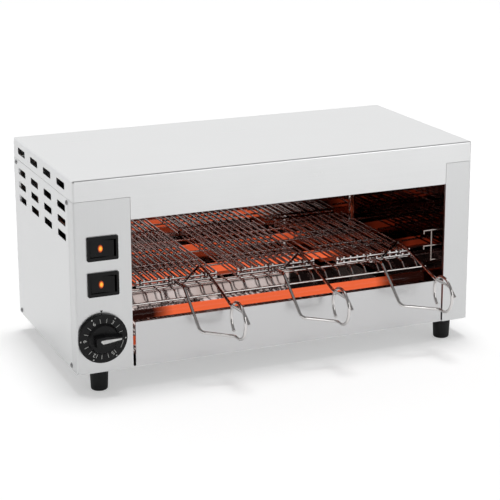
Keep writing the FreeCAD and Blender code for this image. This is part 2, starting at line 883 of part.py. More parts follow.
def upper_jaw(shift):
    """Upper jaw with the lever that runs through the ring, about the hinge axis."""
    parts = jaw_grid(0.0, wire_stack)
    foot = (lever_foot_x, lever_foot_y, lever_foot_z)
    apex = (apex_x + shift, apex_y, apex_z)
    after = (lever_pass_x + shift, lever_pass_y, lever_pass_z)
    at_ring = (lever_ring_x + shift, lever_ring_y, lever_ring_z)
    leaving = (lever_exit_x + shift, lever_exit_y, lever_exit_z)
    tip = (lever_tip_x + shift, lever_tip_y, lever_tip_z)
    first = rounded_edges([foot, apex, after], apex_bend)
    rest = rounded_edges([apex, after, at_ring, leaving, tip], lever_bend)
    joint_start = first[1].valueAt(first[1].LastParameter)
    next_arc = rest[1].valueAt(rest[1].FirstParameter)
    middle = Part.LineSegment(joint_start, next_arc).toShape()
    parts.append(bar_along(first[:2] + [middle] + rest[1:], lever_rod))
    return join(parts)


def switch_housing(height):
    """A rocker switch's bezel and body, with its recess, pin holes and blades."""
    z = case_bottom + height
    bezel = block(switch_x - bezel_width / 2, switch_x + bezel_width / 2, front - bezel_thickness, front,
                  z - bezel_height / 2, z + bezel_height / 2)
    bezel = round_edges(bezel, bezel_corner, lambda e: is_line_along(e, Vector(0, 1, 0)))
    bezel = round_edges(bezel, bezel_edge, lambda e: abs(e.Vertexes[0].Y - (front - bezel_thickness)) < 1e-6
                        and abs(e.Vertexes[-1].Y - (front - bezel_thickness)) < 1e-6)
    half_w = cutout_width / 2 - cutout_clearance
    half_h = cutout_height / 2 - cutout_clearance
    body = block(switch_x - half_w, switch_x + half_w, front - cutout_clearance, front + housing_depth,
                 z - half_h, z + half_h)
    recess = block(switch_x - recess_width / 2, switch_x + recess_width / 2, front - bezel_thickness - 1,
                   front - bezel_thickness + recess_depth, z - recess_height / 2, z + recess_height / 2)
    pivot_y = front - bezel_thickness + rocker_pivot_depth
    pin_reach = rocker_height / 2 + rocker_pin_length + cutout_clearance
    pin_hole = rod((switch_x, pivot_y, z - pin_reach), (switch_x, pivot_y, z + pin_reach),
                   rocker_pin + 2 * running_clearance)
    solid = join([bezel, body]).cut([recess, pin_hole])
    blades = []
    for x in (switch_x - blade_spacing, switch_x, switch_x + blade_spacing):
        blades.append(block(x - blade_thickness / 2, x + blade_thickness / 2, front + housing_depth - 1,
                            front + housing_depth + blade_length, z - blade_width / 2, z + blade_width / 2))
    return join([solid] + blades)


def rocker_turn(shape, height):
    """Tilts a rocker piece about its pin into its resting place, left end pressed."""
    pivot = Vector(switch_x, front - bezel_thickness + rocker_pivot_depth, case_bottom + height)
    turned = shape.copy()
    turned.rotate(pivot, Vector(0, 0, 1), -rocker_tilt)
    return turned


def rocker_face_y(x):
    """The rocker's front face before it is tilted, a shallow valley about its middle."""
    return front - bezel_thickness + rocker_rise - abs(x - switch_x) * math.tan(math.radians(rocker_face_slope))


def lens_cutter(z, depth_from, depth_to):
    """An upright oval prism at the rocker's middle."""
    oval = Part.Ellipse(Vector(0, 0, 0), lens_height / 2, lens_width / 2)
    face = Part.Face(Part.Wire([oval.toShape()]))
    solid = face.extrude(Vector(0, 0, depth_to - depth_from))
    turn = FreeCAD.Rotation(Vector(0, 0, 1), Vector(1, 0, 0), Vector(0, 1, 0), "ZXY")
    solid.Placement = FreeCAD.Placement(Vector(switch_x - lens_offset, depth_from, z), turn)
    return solid


def rocker(height):
    """The rocker: a body with a valley-shaped face, two pins and a hole for the lens."""
    z = case_bottom + height
    pivot_y = front - bezel_thickness + rocker_pivot_depth
    half = rocker_width / 2
    back = pivot_y + rocker_back
    shoulder = half - rocker_back_taper
    shoulder_y = back - rocker_back_rise
    toe = rocker_back_width / 2
    outline = [(-half, rocker_face_y(switch_x - half)), (0, rocker_face_y(switch_x)),
               (half, rocker_face_y(switch_x + half)), (shoulder, shoulder_y), (toe, back),
               (-toe, back), (-shoulder, shoulder_y), (-half, rocker_face_y(switch_x - half))]
    ring = Part.makePolygon([Vector(switch_x + x, y, z - rocker_height / 2) for x, y in outline])
    body = Part.Face(ring).extrude(Vector(0, 0, rocker_height))
    reach = rocker_height / 2 + rocker_pin_length
    pins = rod((switch_x, pivot_y, z - reach), (switch_x, pivot_y, z + reach), rocker_pin)
    whole = join([body, pins])
    hole = lens_cutter(z, rocker_face_y(switch_x) - 2 * lens_proud, lens_back_y())
    return rocker_turn(whole.cut(hole), height)


def lens_back_y():
    """Depth of the lens pocket in the untilted rocker."""
    return rocker_face_y(switch_x) + lens_depth


def rocker_lens(height):
    """The amber lens in a rocker."""
    z = case_bottom + height
    body = lens_cutter(z, rocker_face_y(switch_x) - lens_proud, lens_back_y())
    front_y = rocker_face_y(switch_x) - lens_proud
    body = round_edges(body, lens_edge, lambda e: abs(e.BoundBox.YMax - front_y) < 1e-6)
    return rocker_turn(body, height)


def timer_screw_places():
    """The x of the two screws that hold the timer, under the dial."""
    return (knob_x - timer_screw_spacing / 2, knob_x + timer_screw_spacing / 2)


def timer_body():
    """The clockwork timer behind the control panel, with its bush and screw holes."""
    z = case_bottom + knob_height
    back = front + sheet + timer_depth
    body = block(knob_x - timer_width / 2, knob_x + timer_width / 2, front + sheet, back,
                 z - timer_height / 2, z + timer_height / 2)
    body = round_edges(body, timer_edge, lambda e: is_line_along(e, Vector(0, 1, 0)))
    bush = rod((knob_x, front - timer_bush_reach, z), (knob_x, front + sheet + 1, z), timer_bush)
    bore = rod((knob_x, front - 2, z), (knob_x, front + shaft_length - dial_gap, z),
               shaft_diameter + 2 * running_clearance)
    screw_end = front + sheet + timer_screw_length + 1
    tools = [bore]
    for x in timer_screw_places():
        tools.append(rod((x, front - 1, z), (x, screw_end, z), timer_screw_diameter))
    blades = []
    blade_front = front + timer_blade_inset
    top = z + timer_height / 2
    for x in (knob_x - timer_blade_spacing / 2, knob_x + timer_blade_spacing / 2):
        blades.append(block(x - blade_thickness / 2, x + blade_thickness / 2,
                            blade_front, blade_front + blade_width, top - 1, top + blade_length))
    return join([body, bush]).cut(tools).fuse(blades).removeSplitter()


def timer_bell():
    """The dish-shaped bell on the timer's back."""
    z = case_bottom + knob_height
    back = front + sheet + timer_depth
    rim = back + bell_gap
    crown = rim + bell_height
    inner_end = crown - bell_wall
    outer = rod((knob_x, rim, z), (knob_x, crown, z), bell_diameter)
    outer = round_edges(outer, bell_bend, lambda e: abs(e.BoundBox.YMin - crown) < 1e-6
                        and e.Curve.TypeId == "Part::GeomCircle")
    inner = rod((knob_x, back, z), (knob_x, inner_end, z), bell_diameter - 2 * bell_wall)
    inner = round_edges(inner, bell_bend - bell_wall, lambda e: abs(e.BoundBox.YMin - inner_end) < 1e-6
                        and e.Curve.TypeId == "Part::GeomCircle")
    post = rod((knob_x, back, z), (knob_x, crown, z), bell_post)
    return join([outer.cut(inner), post])


def timer_screws():
    """Two flat-headed screws through the panel into the timer, hidden by the dial."""
    z = case_bottom + knob_height
    end = front + sheet + timer_screw_length
    return [join([rod((x, front, z), (x, end, z), timer_screw_diameter),
                  rod((x, front - timer_screw_head_height, z), (x, front, z), timer_screw_head)])
            for x in timer_screw_places()]


def dial_back():
    """The y of the dial's back, just off the panel."""
    return front - dial_gap


def dial_front():
    """The y of the dial's face."""
    return dial_back() - dial_thickness


def knob_solid():
    """The knob before it is turned: dial, hub and a wedge-shaped grip that points to +X."""
    face = dial_front()
    dial = rod((0, dial_back(), 0), (0, face, 0), dial_diameter)
    dial = round_edges(dial, dial_edge, lambda e: e.Curve.TypeId == "Part::GeomCircle"
                       and abs(e.BoundBox.YMin - face) < 1e-6)
    hub = Part.makeCone(hub_diameter / 2, hub_diameter / 2 - hub_slope, hub_height,
                        Vector(0, face, 0), Vector(0, -1, 0))

    def outline(y, draft):
        wide = grip_width / 2 + draft
        narrow = grip_tip_width / 2 + draft
        rear_x = -grip_rear - draft
        front_x = grip_front - grip_draft + draft
        return Part.makePolygon([Vector(rear_x, y, -wide), Vector(0, y, -wide), Vector(front_x, y, -narrow),
                                 Vector(front_x, y, narrow), Vector(0, y, wide), Vector(rear_x, y, wide),
                                 Vector(rear_x, y, -wide)])

    root = face + dial_edge
    grip = Part.makeLoft([outline(root, grip_draft), outline(face - grip_height, 0)], True, True)
    grip = round_edges(grip, grip_edge, lambda e: e.BoundBox.YMin < face - 1)
    return join([dial, hub, grip])


def pointer_solid():
    """The white pointer let into the grip's top, before the knob is turned."""
    top = dial_front() - grip_height
    wide = pointer_width / 2
    narrow = pointer_tip_width / 2
    outline = [(pointer_start, wide / 2), (pointer_start + wide, -wide), (0, -wide), (pointer_end, -narrow),
               (pointer_end, narrow), (0, wide), (pointer_start + wide / 2, wide), (pointer_start, wide / 2)]
    ring = Part.makePolygon([Vector(x, top + pointer_depth, z) for x, z in outline])
    return Part.Face(ring).extrude(Vector(0, -pointer_depth - pointer_proud, 0))


def on_knob(shape):
    """Turns a knob piece to its resting place on the panel."""
    turned = shape.copy()
    turned.rotate(Vector(0, 0, 0), Vector(0, -1, 0), grip_angle)
    turned.translate(Vector(knob_x, 0, case_bottom + knob_height))
    return turned


def shaft_cutaway():
    """What the shaft's flat takes off it, from the dial's back outwards."""
    return block(-shaft_diameter, shaft_diameter, dial_front() - shaft_length, dial_back() + shaft_flat / 2,
                 shaft_flat, shaft_diameter)


def shaft_solid():
    """The timer's shaft with its flat, from inside the timer into the knob."""
    start = front + shaft_length - dial_gap - 1
    shaft = rod((0, start, 0), (0, dial_front() - shaft_socket, 0), shaft_diameter)
    return shaft.cut(shaft_cutaway())


def timer_knob():
    """The knob with its socket for the shaft and pocket for the pointer."""
    socket = rod((0, front, 0), (0, dial_front() - shaft_socket, 0), shaft_diameter)
    return on_knob(knob_solid().cut([socket.cut(shaft_cutaway()), pointer_solid()]))


def foot_places():
    """Centres of the four feet."""
    x = half_width - foot_inset_x
    y = half_depth - foot_inset_y
    return [(-x, -y), (x, -y), (-x, y), (x, y)]


def rubber_feet():
    """Four tapered feet, bored for their screws from below."""
    feet = []
    for x, y in foot_places():
        cone = Part.makeCone(foot_bottom_diameter / 2, foot_top_diameter / 2, foot_height, Vector(x, y, 0))
        cone = round_edges(cone, foot_edge, lambda e: e.Curve.TypeId == "Part::GeomCircle"
                           and e.BoundBox.ZMax < 1e-6)
        bore = rod((x, y, -1), (x, y, foot_height + 1), foot_screw_diameter)
        sink = rod((x, y, -1), (x, y, foot_height / 2), foot_screw_head + 2 * screw_hole_clearance)
        feet.append(cone.cut([bore, sink]))
    return feet


def foot_screws():
    """Four screws up through the feet and the base pan."""
    top = case_bottom + sheet + foot_nut_height + foot_screw_end
    head_z = foot_height / 2
    return [join([rod((x, y, head_z), (x, y, top), foot_screw_diameter),
                  rod((x, y, head_z - foot_screw_head_height), (x, y, head_z), foot_screw_head)])
            for x, y in foot_places()]


def foot_nuts():
    """Nuts on the foot screws, on the base pan."""
    z = case_bottom + sheet
    return [hexagon((x, y, z), (0, 0, 1), foot_nut_width, foot_nut_height).cut(
        rod((x, y, z - 1), (x, y, z + foot_nut_height + 1), foot_screw_diameter)) for x, y in foot_places()]


def side_screws(side):
    """The four domed screws of one side panel."""
    return [dome_screw((side * half_width, y, z), (side, 0, 0)) for y, z in screw_places()]


def rear_screws():
    """The rear panel's screws into the base pan."""
    return [dome_screw((x, rear, z), (0, 1, 0)) for x, z in rear_screw_places()]


def cable_gland():
    """The mains inlet: a screwed gland with its flange outside the rear panel."""
    z = case_bottom + gland_height
    flange = rod((gland_x, rear, z), (gland_x, rear + gland_flange_thickness, z), gland_flange)
    inner_end = rear - sheet - gland_nut_thickness - gland_thread_end
    neck = rod((gland_x, inner_end, z), (gland_x, rear + 1, z), gland_thread)
    cap = hexagon((gland_x, rear + 1, z), (0, 1, 0), gland_cap_width, gland_reach - 1)
    cap = cap.common(rod((gland_x, rear, z), (gland_x, rear + gland_reach, z), gland_cap_corner))
    bore = rod((gland_x, inner_end - 1, z), (gland_x, rear + gland_reach + 1, z), gland_bore)
    return join([flange, neck, cap]).cut(bore)


def gland_nut():
    """The gland's locknut inside the rear panel."""
    z = case_bottom + gland_height
    start = rear - sheet
    nut = hexagon((gland_x, start, z), (0, -1, 0), gland_nut_width, gland_nut_thickness)
    return nut.cut(rod((gland_x, rear, z), (gland_x, start - gland_nut_thickness - 1, z), gland_thread))


def block_way_x():
    """The x of the terminal block's ways."""
    step = block_length / block_ways
    return [block_x + step * (i + 0.5) for i in range(block_ways)]


def terminal_block():
    """The mains terminal block on the base pan."""
    z0 = case_bottom + sheet
    top = z0 + block_height
    back = block_y + block_depth
    middle = (block_y + back) / 2
    hole_z = z0 + block_hole_height
    body = block(block_x, block_x + block_length, block_y, back, z0, top)
    tools = []
    for x in block_way_x():
        tools.append(rod((x, block_y - 1, hole_z), (x, back + 1, hole_z), link_wire + 2 * terminal_clearance))
        tools.append(rod((x, middle, hole_z), (x, middle, top + 1), terminal_screw + 2 * terminal_clearance))
    for left, right in zip(block_way_x(), block_way_x()[1:]):
        x = (left + right) / 2
        tools.append(block(x - block_groove / 2, x + block_groove / 2, block_y - 1, back + 1,
                           z0 + block_groove_height, top + 1))
    return body.cut(tools)


def terminal_screws():
    """The terminal block's clamping screws."""
    z0 = case_bottom + sheet
    y = block_y + block_depth / 2
    low = z0 + block_hole_height + link_wire / 2 + terminal_clearance
    return [rod((x, y, low), (x, y, z0 + block_height - 1), terminal_screw) for x in block_way_x()]


def heat_shield():
    """The upright sheet that keeps the chamber's heat from the controls."""
    x = chamber_left - thin_sheet - shield_gap
    z0 = case_bottom + sheet
    y0 = front + shield_front_inset
    upright = block(x - thin_sheet, x, y0, chamber_rear, z0, reflector_z - shield_top_gap)
    foot = block(x - shield_foot, x, y0, chamber_rear, z0, z0 + thin_sheet)
    tools = [rod((x - 2 * thin_sheet, y, z), (x + thin_sheet, y, z), cap_diameter + 2 * cap_hole_clearance)
             for name, y, z in tube_places()]
    return join([upright, foot]).cut(tools)


def earth_stud():
    """The earth stud with its nut on the base pan."""
    z = case_bottom + sheet
    stud = rod((earth_stud_x, earth_stud_y, case_bottom), (earth_stud_x, earth_stud_y, z + earth_stud_height),
               earth_stud_diameter)
    nut = hexagon((earth_stud_x, earth_stud_y, z), (0, 0, 1), earth_nut_width, earth_nut_height)
    return join([stud, nut])


def tube_link_wires():
    """Wires on the right that link the front and rear tube of each level."""
    front_x = tube_span(front_tube_y)[1] + lead_reach()
    rear_x = tube_span(rear_tube_y)[1] + lead_reach()
    out = front_x + link_reach
    return [bent_wire([(front_x, front_tube_y, z), (out, front_tube_y, z), (out, rear_tube_y, z),
                       (rear_x, rear_tube_y, z)], link_bend, link_wire)
            for z in (lower_tube_z, upper_tube_z)]


def control_wiring():
    """The insulated wires that join the inlet's block, switches, timer and the left tube ends."""
    lead_x = tube_span(front_tube_y)[0] - lead_reach()
    blade_y = front + housing_depth + blade_length
    upper_z, lower_z = (case_bottom + height for height in switch_heights)
    timer_blade_y = front + timer_blade_inset + blade_width / 2
    timer_blade_z = case_bottom + knob_height + timer_height / 2 + blade_length
    over_timer = timer_blade_z + loom_rise
    timer_right = knob_x + timer_blade_spacing / 2
    ways = block_way_x()
    hole_z = case_bottom + sheet + block_hole_height
    block_front = block_y + loom_entry
    block_back = block_y + block_depth - loom_entry
    stud_top = case_bottom + sheet + earth_stud_height
    over_stud = stud_top + loom_clear
    left_blade = switch_x - blade_spacing
    right_blade = switch_x + blade_spacing
    low_x = lead_x - loom_low_reach
    high_x = lead_x - loom_high_reach
    routes = [
        [(lead_x, front_tube_y, lower_tube_z), (low_x, front_tube_y, lower_tube_z),
         (low_x, front_tube_y, lower_z), (right_blade, front_tube_y, lower_z), (right_blade, blade_y, lower_z)],
        [(lead_x, front_tube_y, upper_tube_z), (high_x, front_tube_y, upper_tube_z),
         (high_x, front_tube_y, upper_z), (right_blade, front_tube_y, upper_z), (right_blade, blade_y, upper_z)],
        [(lead_x, rear_tube_y, lower_tube_z), (ways[1], rear_tube_y, lower_tube_z),
         (ways[1], rear_tube_y, hole_z), (ways[1], block_back, hole_z)],
        [(lead_x, rear_tube_y, upper_tube_z), (ways[0], rear_tube_y, upper_tube_z),
         (ways[0], rear_tube_y, hole_z), (ways[0], block_back, hole_z)],
        [(ways[0], block_front, hole_z), (ways[0], blade_y + loom_back, hole_z),
         (ways[0], blade_y + loom_back, over_timer), (ways[0], timer_blade_y, over_timer),
         (ways[0], timer_blade_y, timer_blade_z)],
        [(timer_right, timer_blade_y, timer_blade_z), (timer_right, timer_blade_y, over_timer),
         (timer_right, blade_y + loom_clear, over_timer), (left_blade, blade_y + loom_clear, over_timer),
         (left_blade, blade_y + loom_clear, lower_z), (left_blade, blade_y, lower_z)],
        [(switch_x, blade_y, lower_z), (switch_x, blade_y + loom_rise, lower_z),
         (switch_x, blade_y + loom_rise, upper_z), (switch_x, blade_y, upper_z)],
        [(ways[2], block_front, hole_z), (ways[2], block_y - block_loop, hole_z),
         (ways[2], block_y - block_loop, upper_z), (left_blade, block_y - block_loop, upper_z),
         (left_blade, blade_y, upper_z)],
        [(ways[2], block_back, hole_z), (ways[2], block_back + earth_loop, hole_z),
         (earth_stud_x, block_back + earth_loop, over_stud), (earth_stud_x, earth_stud_y, over_stud),
         (earth_stud_x, earth_stud_y, stud_top)],
    ]
    return [bent_wire(route, loom_bend, link_wire) for route in routes]


def make_solids():
    """All nodes by name, each a list of solids in the case's frame."""
    nodes = {
        "base_pan": [base_pan()],
        "control_panel": [control_panel()],
        "right_column": [right_column()],
        "left_side_panel": [side_panel(-1)],
        "right_side_panel": [side_panel(1)],
        "rear_panel": [rear_panel()],
        "top_cover": [top_cover()],
        "left_chamber_wall": [left_chamber_wall()],
        "right_chamber_wall": [right_chamber_wall()],
        "rear_chamber_wall": [rear_chamber_wall()],
        "upper_reflector": [upper_reflector()],
        "lower_wire_guard": [lower_wire_guard()],
        "upper_wire_guard": [upper_wire_guard()],
        "side_wire_bracket": [side_wire_bracket()],
        "tube_end_caps": end_caps(),
        "tube_link_wires": tube_link_wires(),
        "crumb_tray": [crumb_tray()],
        "timer_body": [timer_body()],
        "timer_bell": [timer_bell()],
        "timer_screws": timer_screws(),
        "timer_shaft": [on_knob(shaft_solid())],
        "timer_knob": [timer_knob()],
        "knob_pointer": [on_knob(pointer_solid())],
        "rubber_feet": rubber_feet(),
        "foot_screws": foot_screws(),
        "foot_nuts": foot_nuts(),
        "left_side_screws": side_screws(-1),
        "right_side_screws": side_screws(1),
        "rear_screws": rear_screws(),
        "cable_gland": [cable_gland()],
        "gland_nut": [gland_nut()],
        "terminal_block": [terminal_block()],
        "terminal_screws": terminal_screws(),
        "heat_shield": [heat_shield()],
        "earth_stud": [earth_stud()],
        "control_wiring": control_wiring(),
    }
    for name, y, z in tube_places():
        nodes["quartz_tube_" + name] = [quartz_tube(y, z)]
        nodes["heating_element_" + name] = [heating_element(y, z)]
    for name, height in zip(switch_names, switch_heights):
        nodes[name + "_switch_housing"] = [switch_housing(height)]
        nodes[name + "_rocker"] = [rocker(height)]
        nodes[name + "_rocker_lens"] = [rocker_lens(height)]
    for name, x, y, shift in zip(tong_names, tong_right_edges, tong_front_y, tong_ring_shifts):
        for label, jaw in (("lower_jaw_", lower_jaw(shift)), ("upper_jaw_", upper_jaw(shift))):
            jaw.translate(Vector(x, y, hinge_z))
            nodes[label + name] = [jaw]
    return nodes


def write_parts():
    """Writes each node as a STEP file and prints the overall box."""
    os.makedirs("parts", exist_ok=True)
    overall = FreeCAD.BoundBox()
    for name, solids in make_solids().items():
        moved = []
        for solid in solids:
            copy = solid.copy()
            copy.translate(Vector(0, case_shift, 0))
            moved.append(copy)
        shape = moved[0] if len(moved) == 1 else Part.makeCompound(moved)
        overall.add(shape.BoundBox)
        count = len(shape.Solids)
        if not shape.isValid() or count != len(solids):
            print("check", name, "valid", shape.isValid(), "solids", count, "expected", len(solids))
        shape.exportStep("parts/" + name + ".step")
    print("case shift %.3f" % case_shift)
    print("x %.3f %.3f  y %.3f %.3f  z %.3f %.3f" % (
        overall.XMin, overall.XMax, overall.YMin, overall.YMax, overall.ZMin, overall.ZMax))


write_parts()
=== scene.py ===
# %% [markdown]
# A countertop toaster for a café: a satin stainless case, a mirror-bright heating chamber with
# glowing quartz tubes, and three wire tongs whose ring handles hang out of the front.
# The measured solids come in first as a fixed frame, in metres. Every later cell either gives
# one of those solids its finish or adds a small piece that rides on one of its bodies.

# %% Load the measured solids
import math
import bpy
from mathutils import Matrix, Vector


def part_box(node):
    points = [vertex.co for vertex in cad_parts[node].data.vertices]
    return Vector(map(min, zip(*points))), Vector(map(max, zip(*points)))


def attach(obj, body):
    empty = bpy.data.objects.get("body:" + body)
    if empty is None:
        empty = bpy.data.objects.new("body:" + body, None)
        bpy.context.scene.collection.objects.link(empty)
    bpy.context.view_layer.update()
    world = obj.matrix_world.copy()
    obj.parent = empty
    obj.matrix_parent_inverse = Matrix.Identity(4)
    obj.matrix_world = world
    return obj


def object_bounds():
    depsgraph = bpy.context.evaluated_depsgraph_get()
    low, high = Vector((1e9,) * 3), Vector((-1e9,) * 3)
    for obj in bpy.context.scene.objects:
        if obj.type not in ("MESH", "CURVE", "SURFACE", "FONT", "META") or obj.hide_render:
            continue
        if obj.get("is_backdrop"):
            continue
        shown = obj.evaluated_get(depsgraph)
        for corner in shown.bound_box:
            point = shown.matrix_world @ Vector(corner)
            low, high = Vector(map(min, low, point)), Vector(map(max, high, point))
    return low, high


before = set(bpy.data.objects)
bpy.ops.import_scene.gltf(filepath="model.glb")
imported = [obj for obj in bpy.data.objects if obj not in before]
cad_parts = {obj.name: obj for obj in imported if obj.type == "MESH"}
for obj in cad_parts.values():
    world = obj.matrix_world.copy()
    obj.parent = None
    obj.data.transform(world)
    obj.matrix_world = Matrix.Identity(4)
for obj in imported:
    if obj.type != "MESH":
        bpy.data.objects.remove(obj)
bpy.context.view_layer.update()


def rounded(corner):
    return tuple(round(v, 4) for v in corner)


# %% [markdown]
# The camera stands high and to the left of the toaster, about a metre and three quarters away,
# with a long lens, so the case's verticals stay nearly parallel. Its place was found by fitting
# the case's corners, and it is written in millimetres from the middle of the case's underside.
# The small shift of the lens puts the toaster where the picture has it in the frame.

# %% Camera
MM = 0.001
IMAGE_SIDE = 500
SENSOR_WIDTH = 36.0
FOCAL_PIXELS = 1592.4
PRINCIPAL_ROW = 190
CAMERA_X = -639.5
CAMERA_Y = -1530.6
CAMERA_Z = 565.8
CAMERA_YAW = 23.012
CAMERA_PITCH = 14.372
CAMERA_ROLL = -0.169


def into_scene(name, data):
    """Makes an object that holds a mesh, a text, a lamp or a camera, and links it in."""
    made = bpy.data.objects.new(name, data)
    bpy.context.scene.collection.objects.link(made)
    return made


lid_low, lid_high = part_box("top_cover")
case_y = (lid_low.y + lid_high.y) / 2
case_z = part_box("rubber_feet")[1].z

lens = bpy.data.cameras.new("camera")
lens.sensor_width = SENSOR_WIDTH
lens.lens = FOCAL_PIXELS / IMAGE_SIDE * SENSOR_WIDTH
lens.shift_y = (PRINCIPAL_ROW - IMAGE_SIDE / 2) / IMAGE_SIDE
camera = into_scene("camera", lens)
standpoint = Matrix.Translation((CAMERA_X * MM, CAMERA_Y * MM + case_y, CAMERA_Z * MM + case_z))
turn = (Matrix.Rotation(-math.radians(CAMERA_YAW), 4, "Z")
        @ Matrix.Rotation(math.pi / 2 - math.radians(CAMERA_PITCH), 4, "X")
        @ Matrix.Rotation(math.radians(CAMERA_ROLL), 4, "Z"))
camera.matrix_world = standpoint @ turn
bpy.context.scene.camera = camera
bpy.context.scene.view_settings.view_transform = "Standard"
print("lens", round(lens.lens, 1), "mm")

# %% [markdown]
# A finish is a small graph of shader nodes, and much of it is plain arithmetic on numbers that
# vary over the surface. `Signal` wraps a node's socket, so that ordinary sums in Python add the
# Math nodes and the formulas below read like formulas.

# %% Sums on a surface


class Signal:
    """A number that varies over a surface, which Python's operators can reckon with."""

    def __init__(self, tree, socket):
        self.tree = tree
        self.socket = socket

    def reckon(self, operation, first, second=None):
        node = self.tree.nodes.new("ShaderNodeMath")
        node.operation = operation
        for entry, value in zip(node.inputs, (first, second)):
            if isinstance(value, Signal):
                self.tree.links.new(value.socket, entry)
            elif value is not None:
                entry.default_value = value
        return Signal(self.tree, node.outputs[0])

    def __add__(self, other):
        return self.reckon("ADD", self, other)

    def __radd__(self, other):
        return self.reckon("ADD", other, self)

    def __sub__(self, other):
        return self.reckon("SUBTRACT", self, other)

    def __rsub__(self, other):
        return self.reckon("SUBTRACT", other, self)

    def __mul__(self, other):
        return self.reckon("MULTIPLY", self, other)

    def __rmul__(self, other):
        return self.reckon("MULTIPLY", other, self)

    def __truediv__(self, other):
        return self.reckon("DIVIDE", self, other)

    def __abs__(self):
        return self.reckon("ABSOLUTE", self)

    def __gt__(self, other):
        return self.reckon("GREATER_THAN", self, other)

    def limited(self):
        """The same number, kept between 0 and 1."""
        node = self.tree.nodes.new("ShaderNodeClamp")
        self.tree.links.new(self.socket, node.inputs[0])
        return Signal(self.tree, node.outputs[0])

    def rising(self, start, full):
        """0 up to start, 1 from full on, and an even slope between them."""
        return ((self - start) / (full - start)).limited()


# %% [markdown]
# Every finish starts from one Principled surface. `Finish` holds it, sets what is the same all
# over it, and adds any other node through one method, so a finish is a few readable lines. All
# patterns read Object coordinates: a solid's object sits at the origin, so these are its
# places in metres, and the pattern moves with the solid.

# %% Finishes and their nodes


class Finish:
    """A material: its Principled surface gets constants, and add() brings any other node."""

    def __init__(self, name, **constants):
        self.material = bpy.data.materials.new(name)
        self.material.use_nodes = True
        self.tree = self.material.node_tree
        self.surface = self.tree.nodes["Principled BSDF"]
        for key, value in constants.items():
            self.fix(key.replace("_", " ").title(), value)

    def fix(self, socket, value):
        self.surface.inputs[socket].default_value = value

    def add(self, kind, settings=None, inputs=None, output=0):
        node = self.tree.nodes.new("ShaderNode" + kind)
        for key, value in (settings or {}).items():
            if key == "stops":
                self.set_stops(node.color_ramp, value)
            else:
                setattr(node, key, value)
        for key, value in (inputs or {}).items():
            self.feed(node.inputs[key], value)
        return Signal(self.tree, node.outputs[output])

    def set_stops(self, ramp, stops):
        while len(ramp.elements) > 1:
            ramp.elements.remove(ramp.elements[-1])
        ramp.elements[0].position = stops[0][0]
        ramp.elements[0].color = (*stops[0][1], 1.0)
        for position, colour in stops[1:]:
            ramp.elements.new(position).color = (*colour, 1.0)

    def feed(self, entry, value):
        if isinstance(value, Signal):
            self.tree.links.new(value.socket, entry)
        else:
            entry.default_value = value

    def drive(self, **links):
        for key, value in links.items():
            self.feed(self.surface.inputs[key.replace("_", " ").title()], value)
        return self.material

    def place(self):
        return self.add("TexCoord", output="Object")

    def axis(self, letter):
        return self.add("SeparateXYZ", inputs={"Vector": self.place()}, output=letter)

    def stretched(self, scale):
        return self.add("Mapping", inputs={"Vector": self.place(), "Scale": scale})

    def noise(self, vector, scale, detail):
        return self.add("TexNoise", inputs={"Vector": vector, "Scale": scale, "Detail": detail})

    def ramp(self, signal, stops):
        return self.add("ValToRGB", {"stops": stops}, {"Fac": signal})

    def blend(self, mask, first, second, how="MIX"):
        """Mixes two colours. A Mix node's colours are its sockets 6 and 7, and its output 2."""
        node = self.tree.nodes.new("ShaderNodeMix")
        node.data_type = "RGBA"
        node.blend_type = how
        for socket, value in ((0, mask), (6, first), (7, second)):
            self.feed(node.inputs[socket], value)
        return Signal(self.tree, node.outputs[2])

    def bump(self, height, strength, distance):
        return self.add("Bump", inputs={"Height": height, "Strength": strength,
                                        "Distance": distance})


def dress(node, material):
    """Gives a solid from the frame its finish."""
    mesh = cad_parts[node].data
    mesh.materials.clear()
    mesh.materials.append(material)


# %% [markdown]
# The case is satin stainless sheet. The mill leaves very fine lines along the sheet, so the
# roughness and the bump read noise that is stretched more than a hundredfold along one axis. A
# slow, faint second noise stands for handling and cleaning, and keeps the large panels from
# looking like plastic. The columns beside the opening are a little darker than the rest, which
# is painted shade: they get a darker copy of the same steel.

# %% Satin stainless sheet
STEEL = (0.77, 0.775, 0.777)
# The columns' darker steel is painted shade, a darker copy of the case's steel.
COLUMN_STEEL_SHADED = (0.69, 0.695, 0.697)
ALONG, ACROSS = 6.0, 900.0
LINES_ALONG_X = (ALONG, ACROSS, ACROSS)
LINES_ALONG_Y = (ACROSS, ALONG, ACROSS)
LINES_ALONG_Z = (ACROSS, ACROSS, ALONG)
LINE_SHADE, CLOUD_SHADE = 0.03, 0.05
DARKER, LIGHTER = (0.93,) * 3, (1.04,) * 3
LINE_BUMP = 0.12
LINE_DEPTH = 0.00006
LINE_ROUGHNESS = 0.08
CLOUD_SCALE = 9.0
CLOUD_ROUGHNESS = 0.06
SATIN_ROUGHNESS = 0.23


def mill_lines(finish, grain):
    return finish.noise(finish.stretched(grain), 1.0, detail=2.0)


def satin_steel(name, grain, base=STEEL):
    finish = Finish(name, metallic=1.0)
    lines = mill_lines(finish, grain)
    cloud = finish.noise(finish.place(), CLOUD_SCALE, detail=2.0)
    shade = lines * LINE_SHADE + cloud * CLOUD_SHADE
    shades = finish.ramp(shade, [(0.0, DARKER), (LINE_SHADE + CLOUD_SHADE, LIGHTER)])
    roughness = lines * LINE_ROUGHNESS + cloud * CLOUD_ROUGHNESS + SATIN_ROUGHNESS
    return finish.drive(base_color=finish.blend(1.0, (*base, 1.0), shades, "MULTIPLY"),
                        roughness=roughness, normal=finish.bump(lines, LINE_BUMP, LINE_DEPTH))


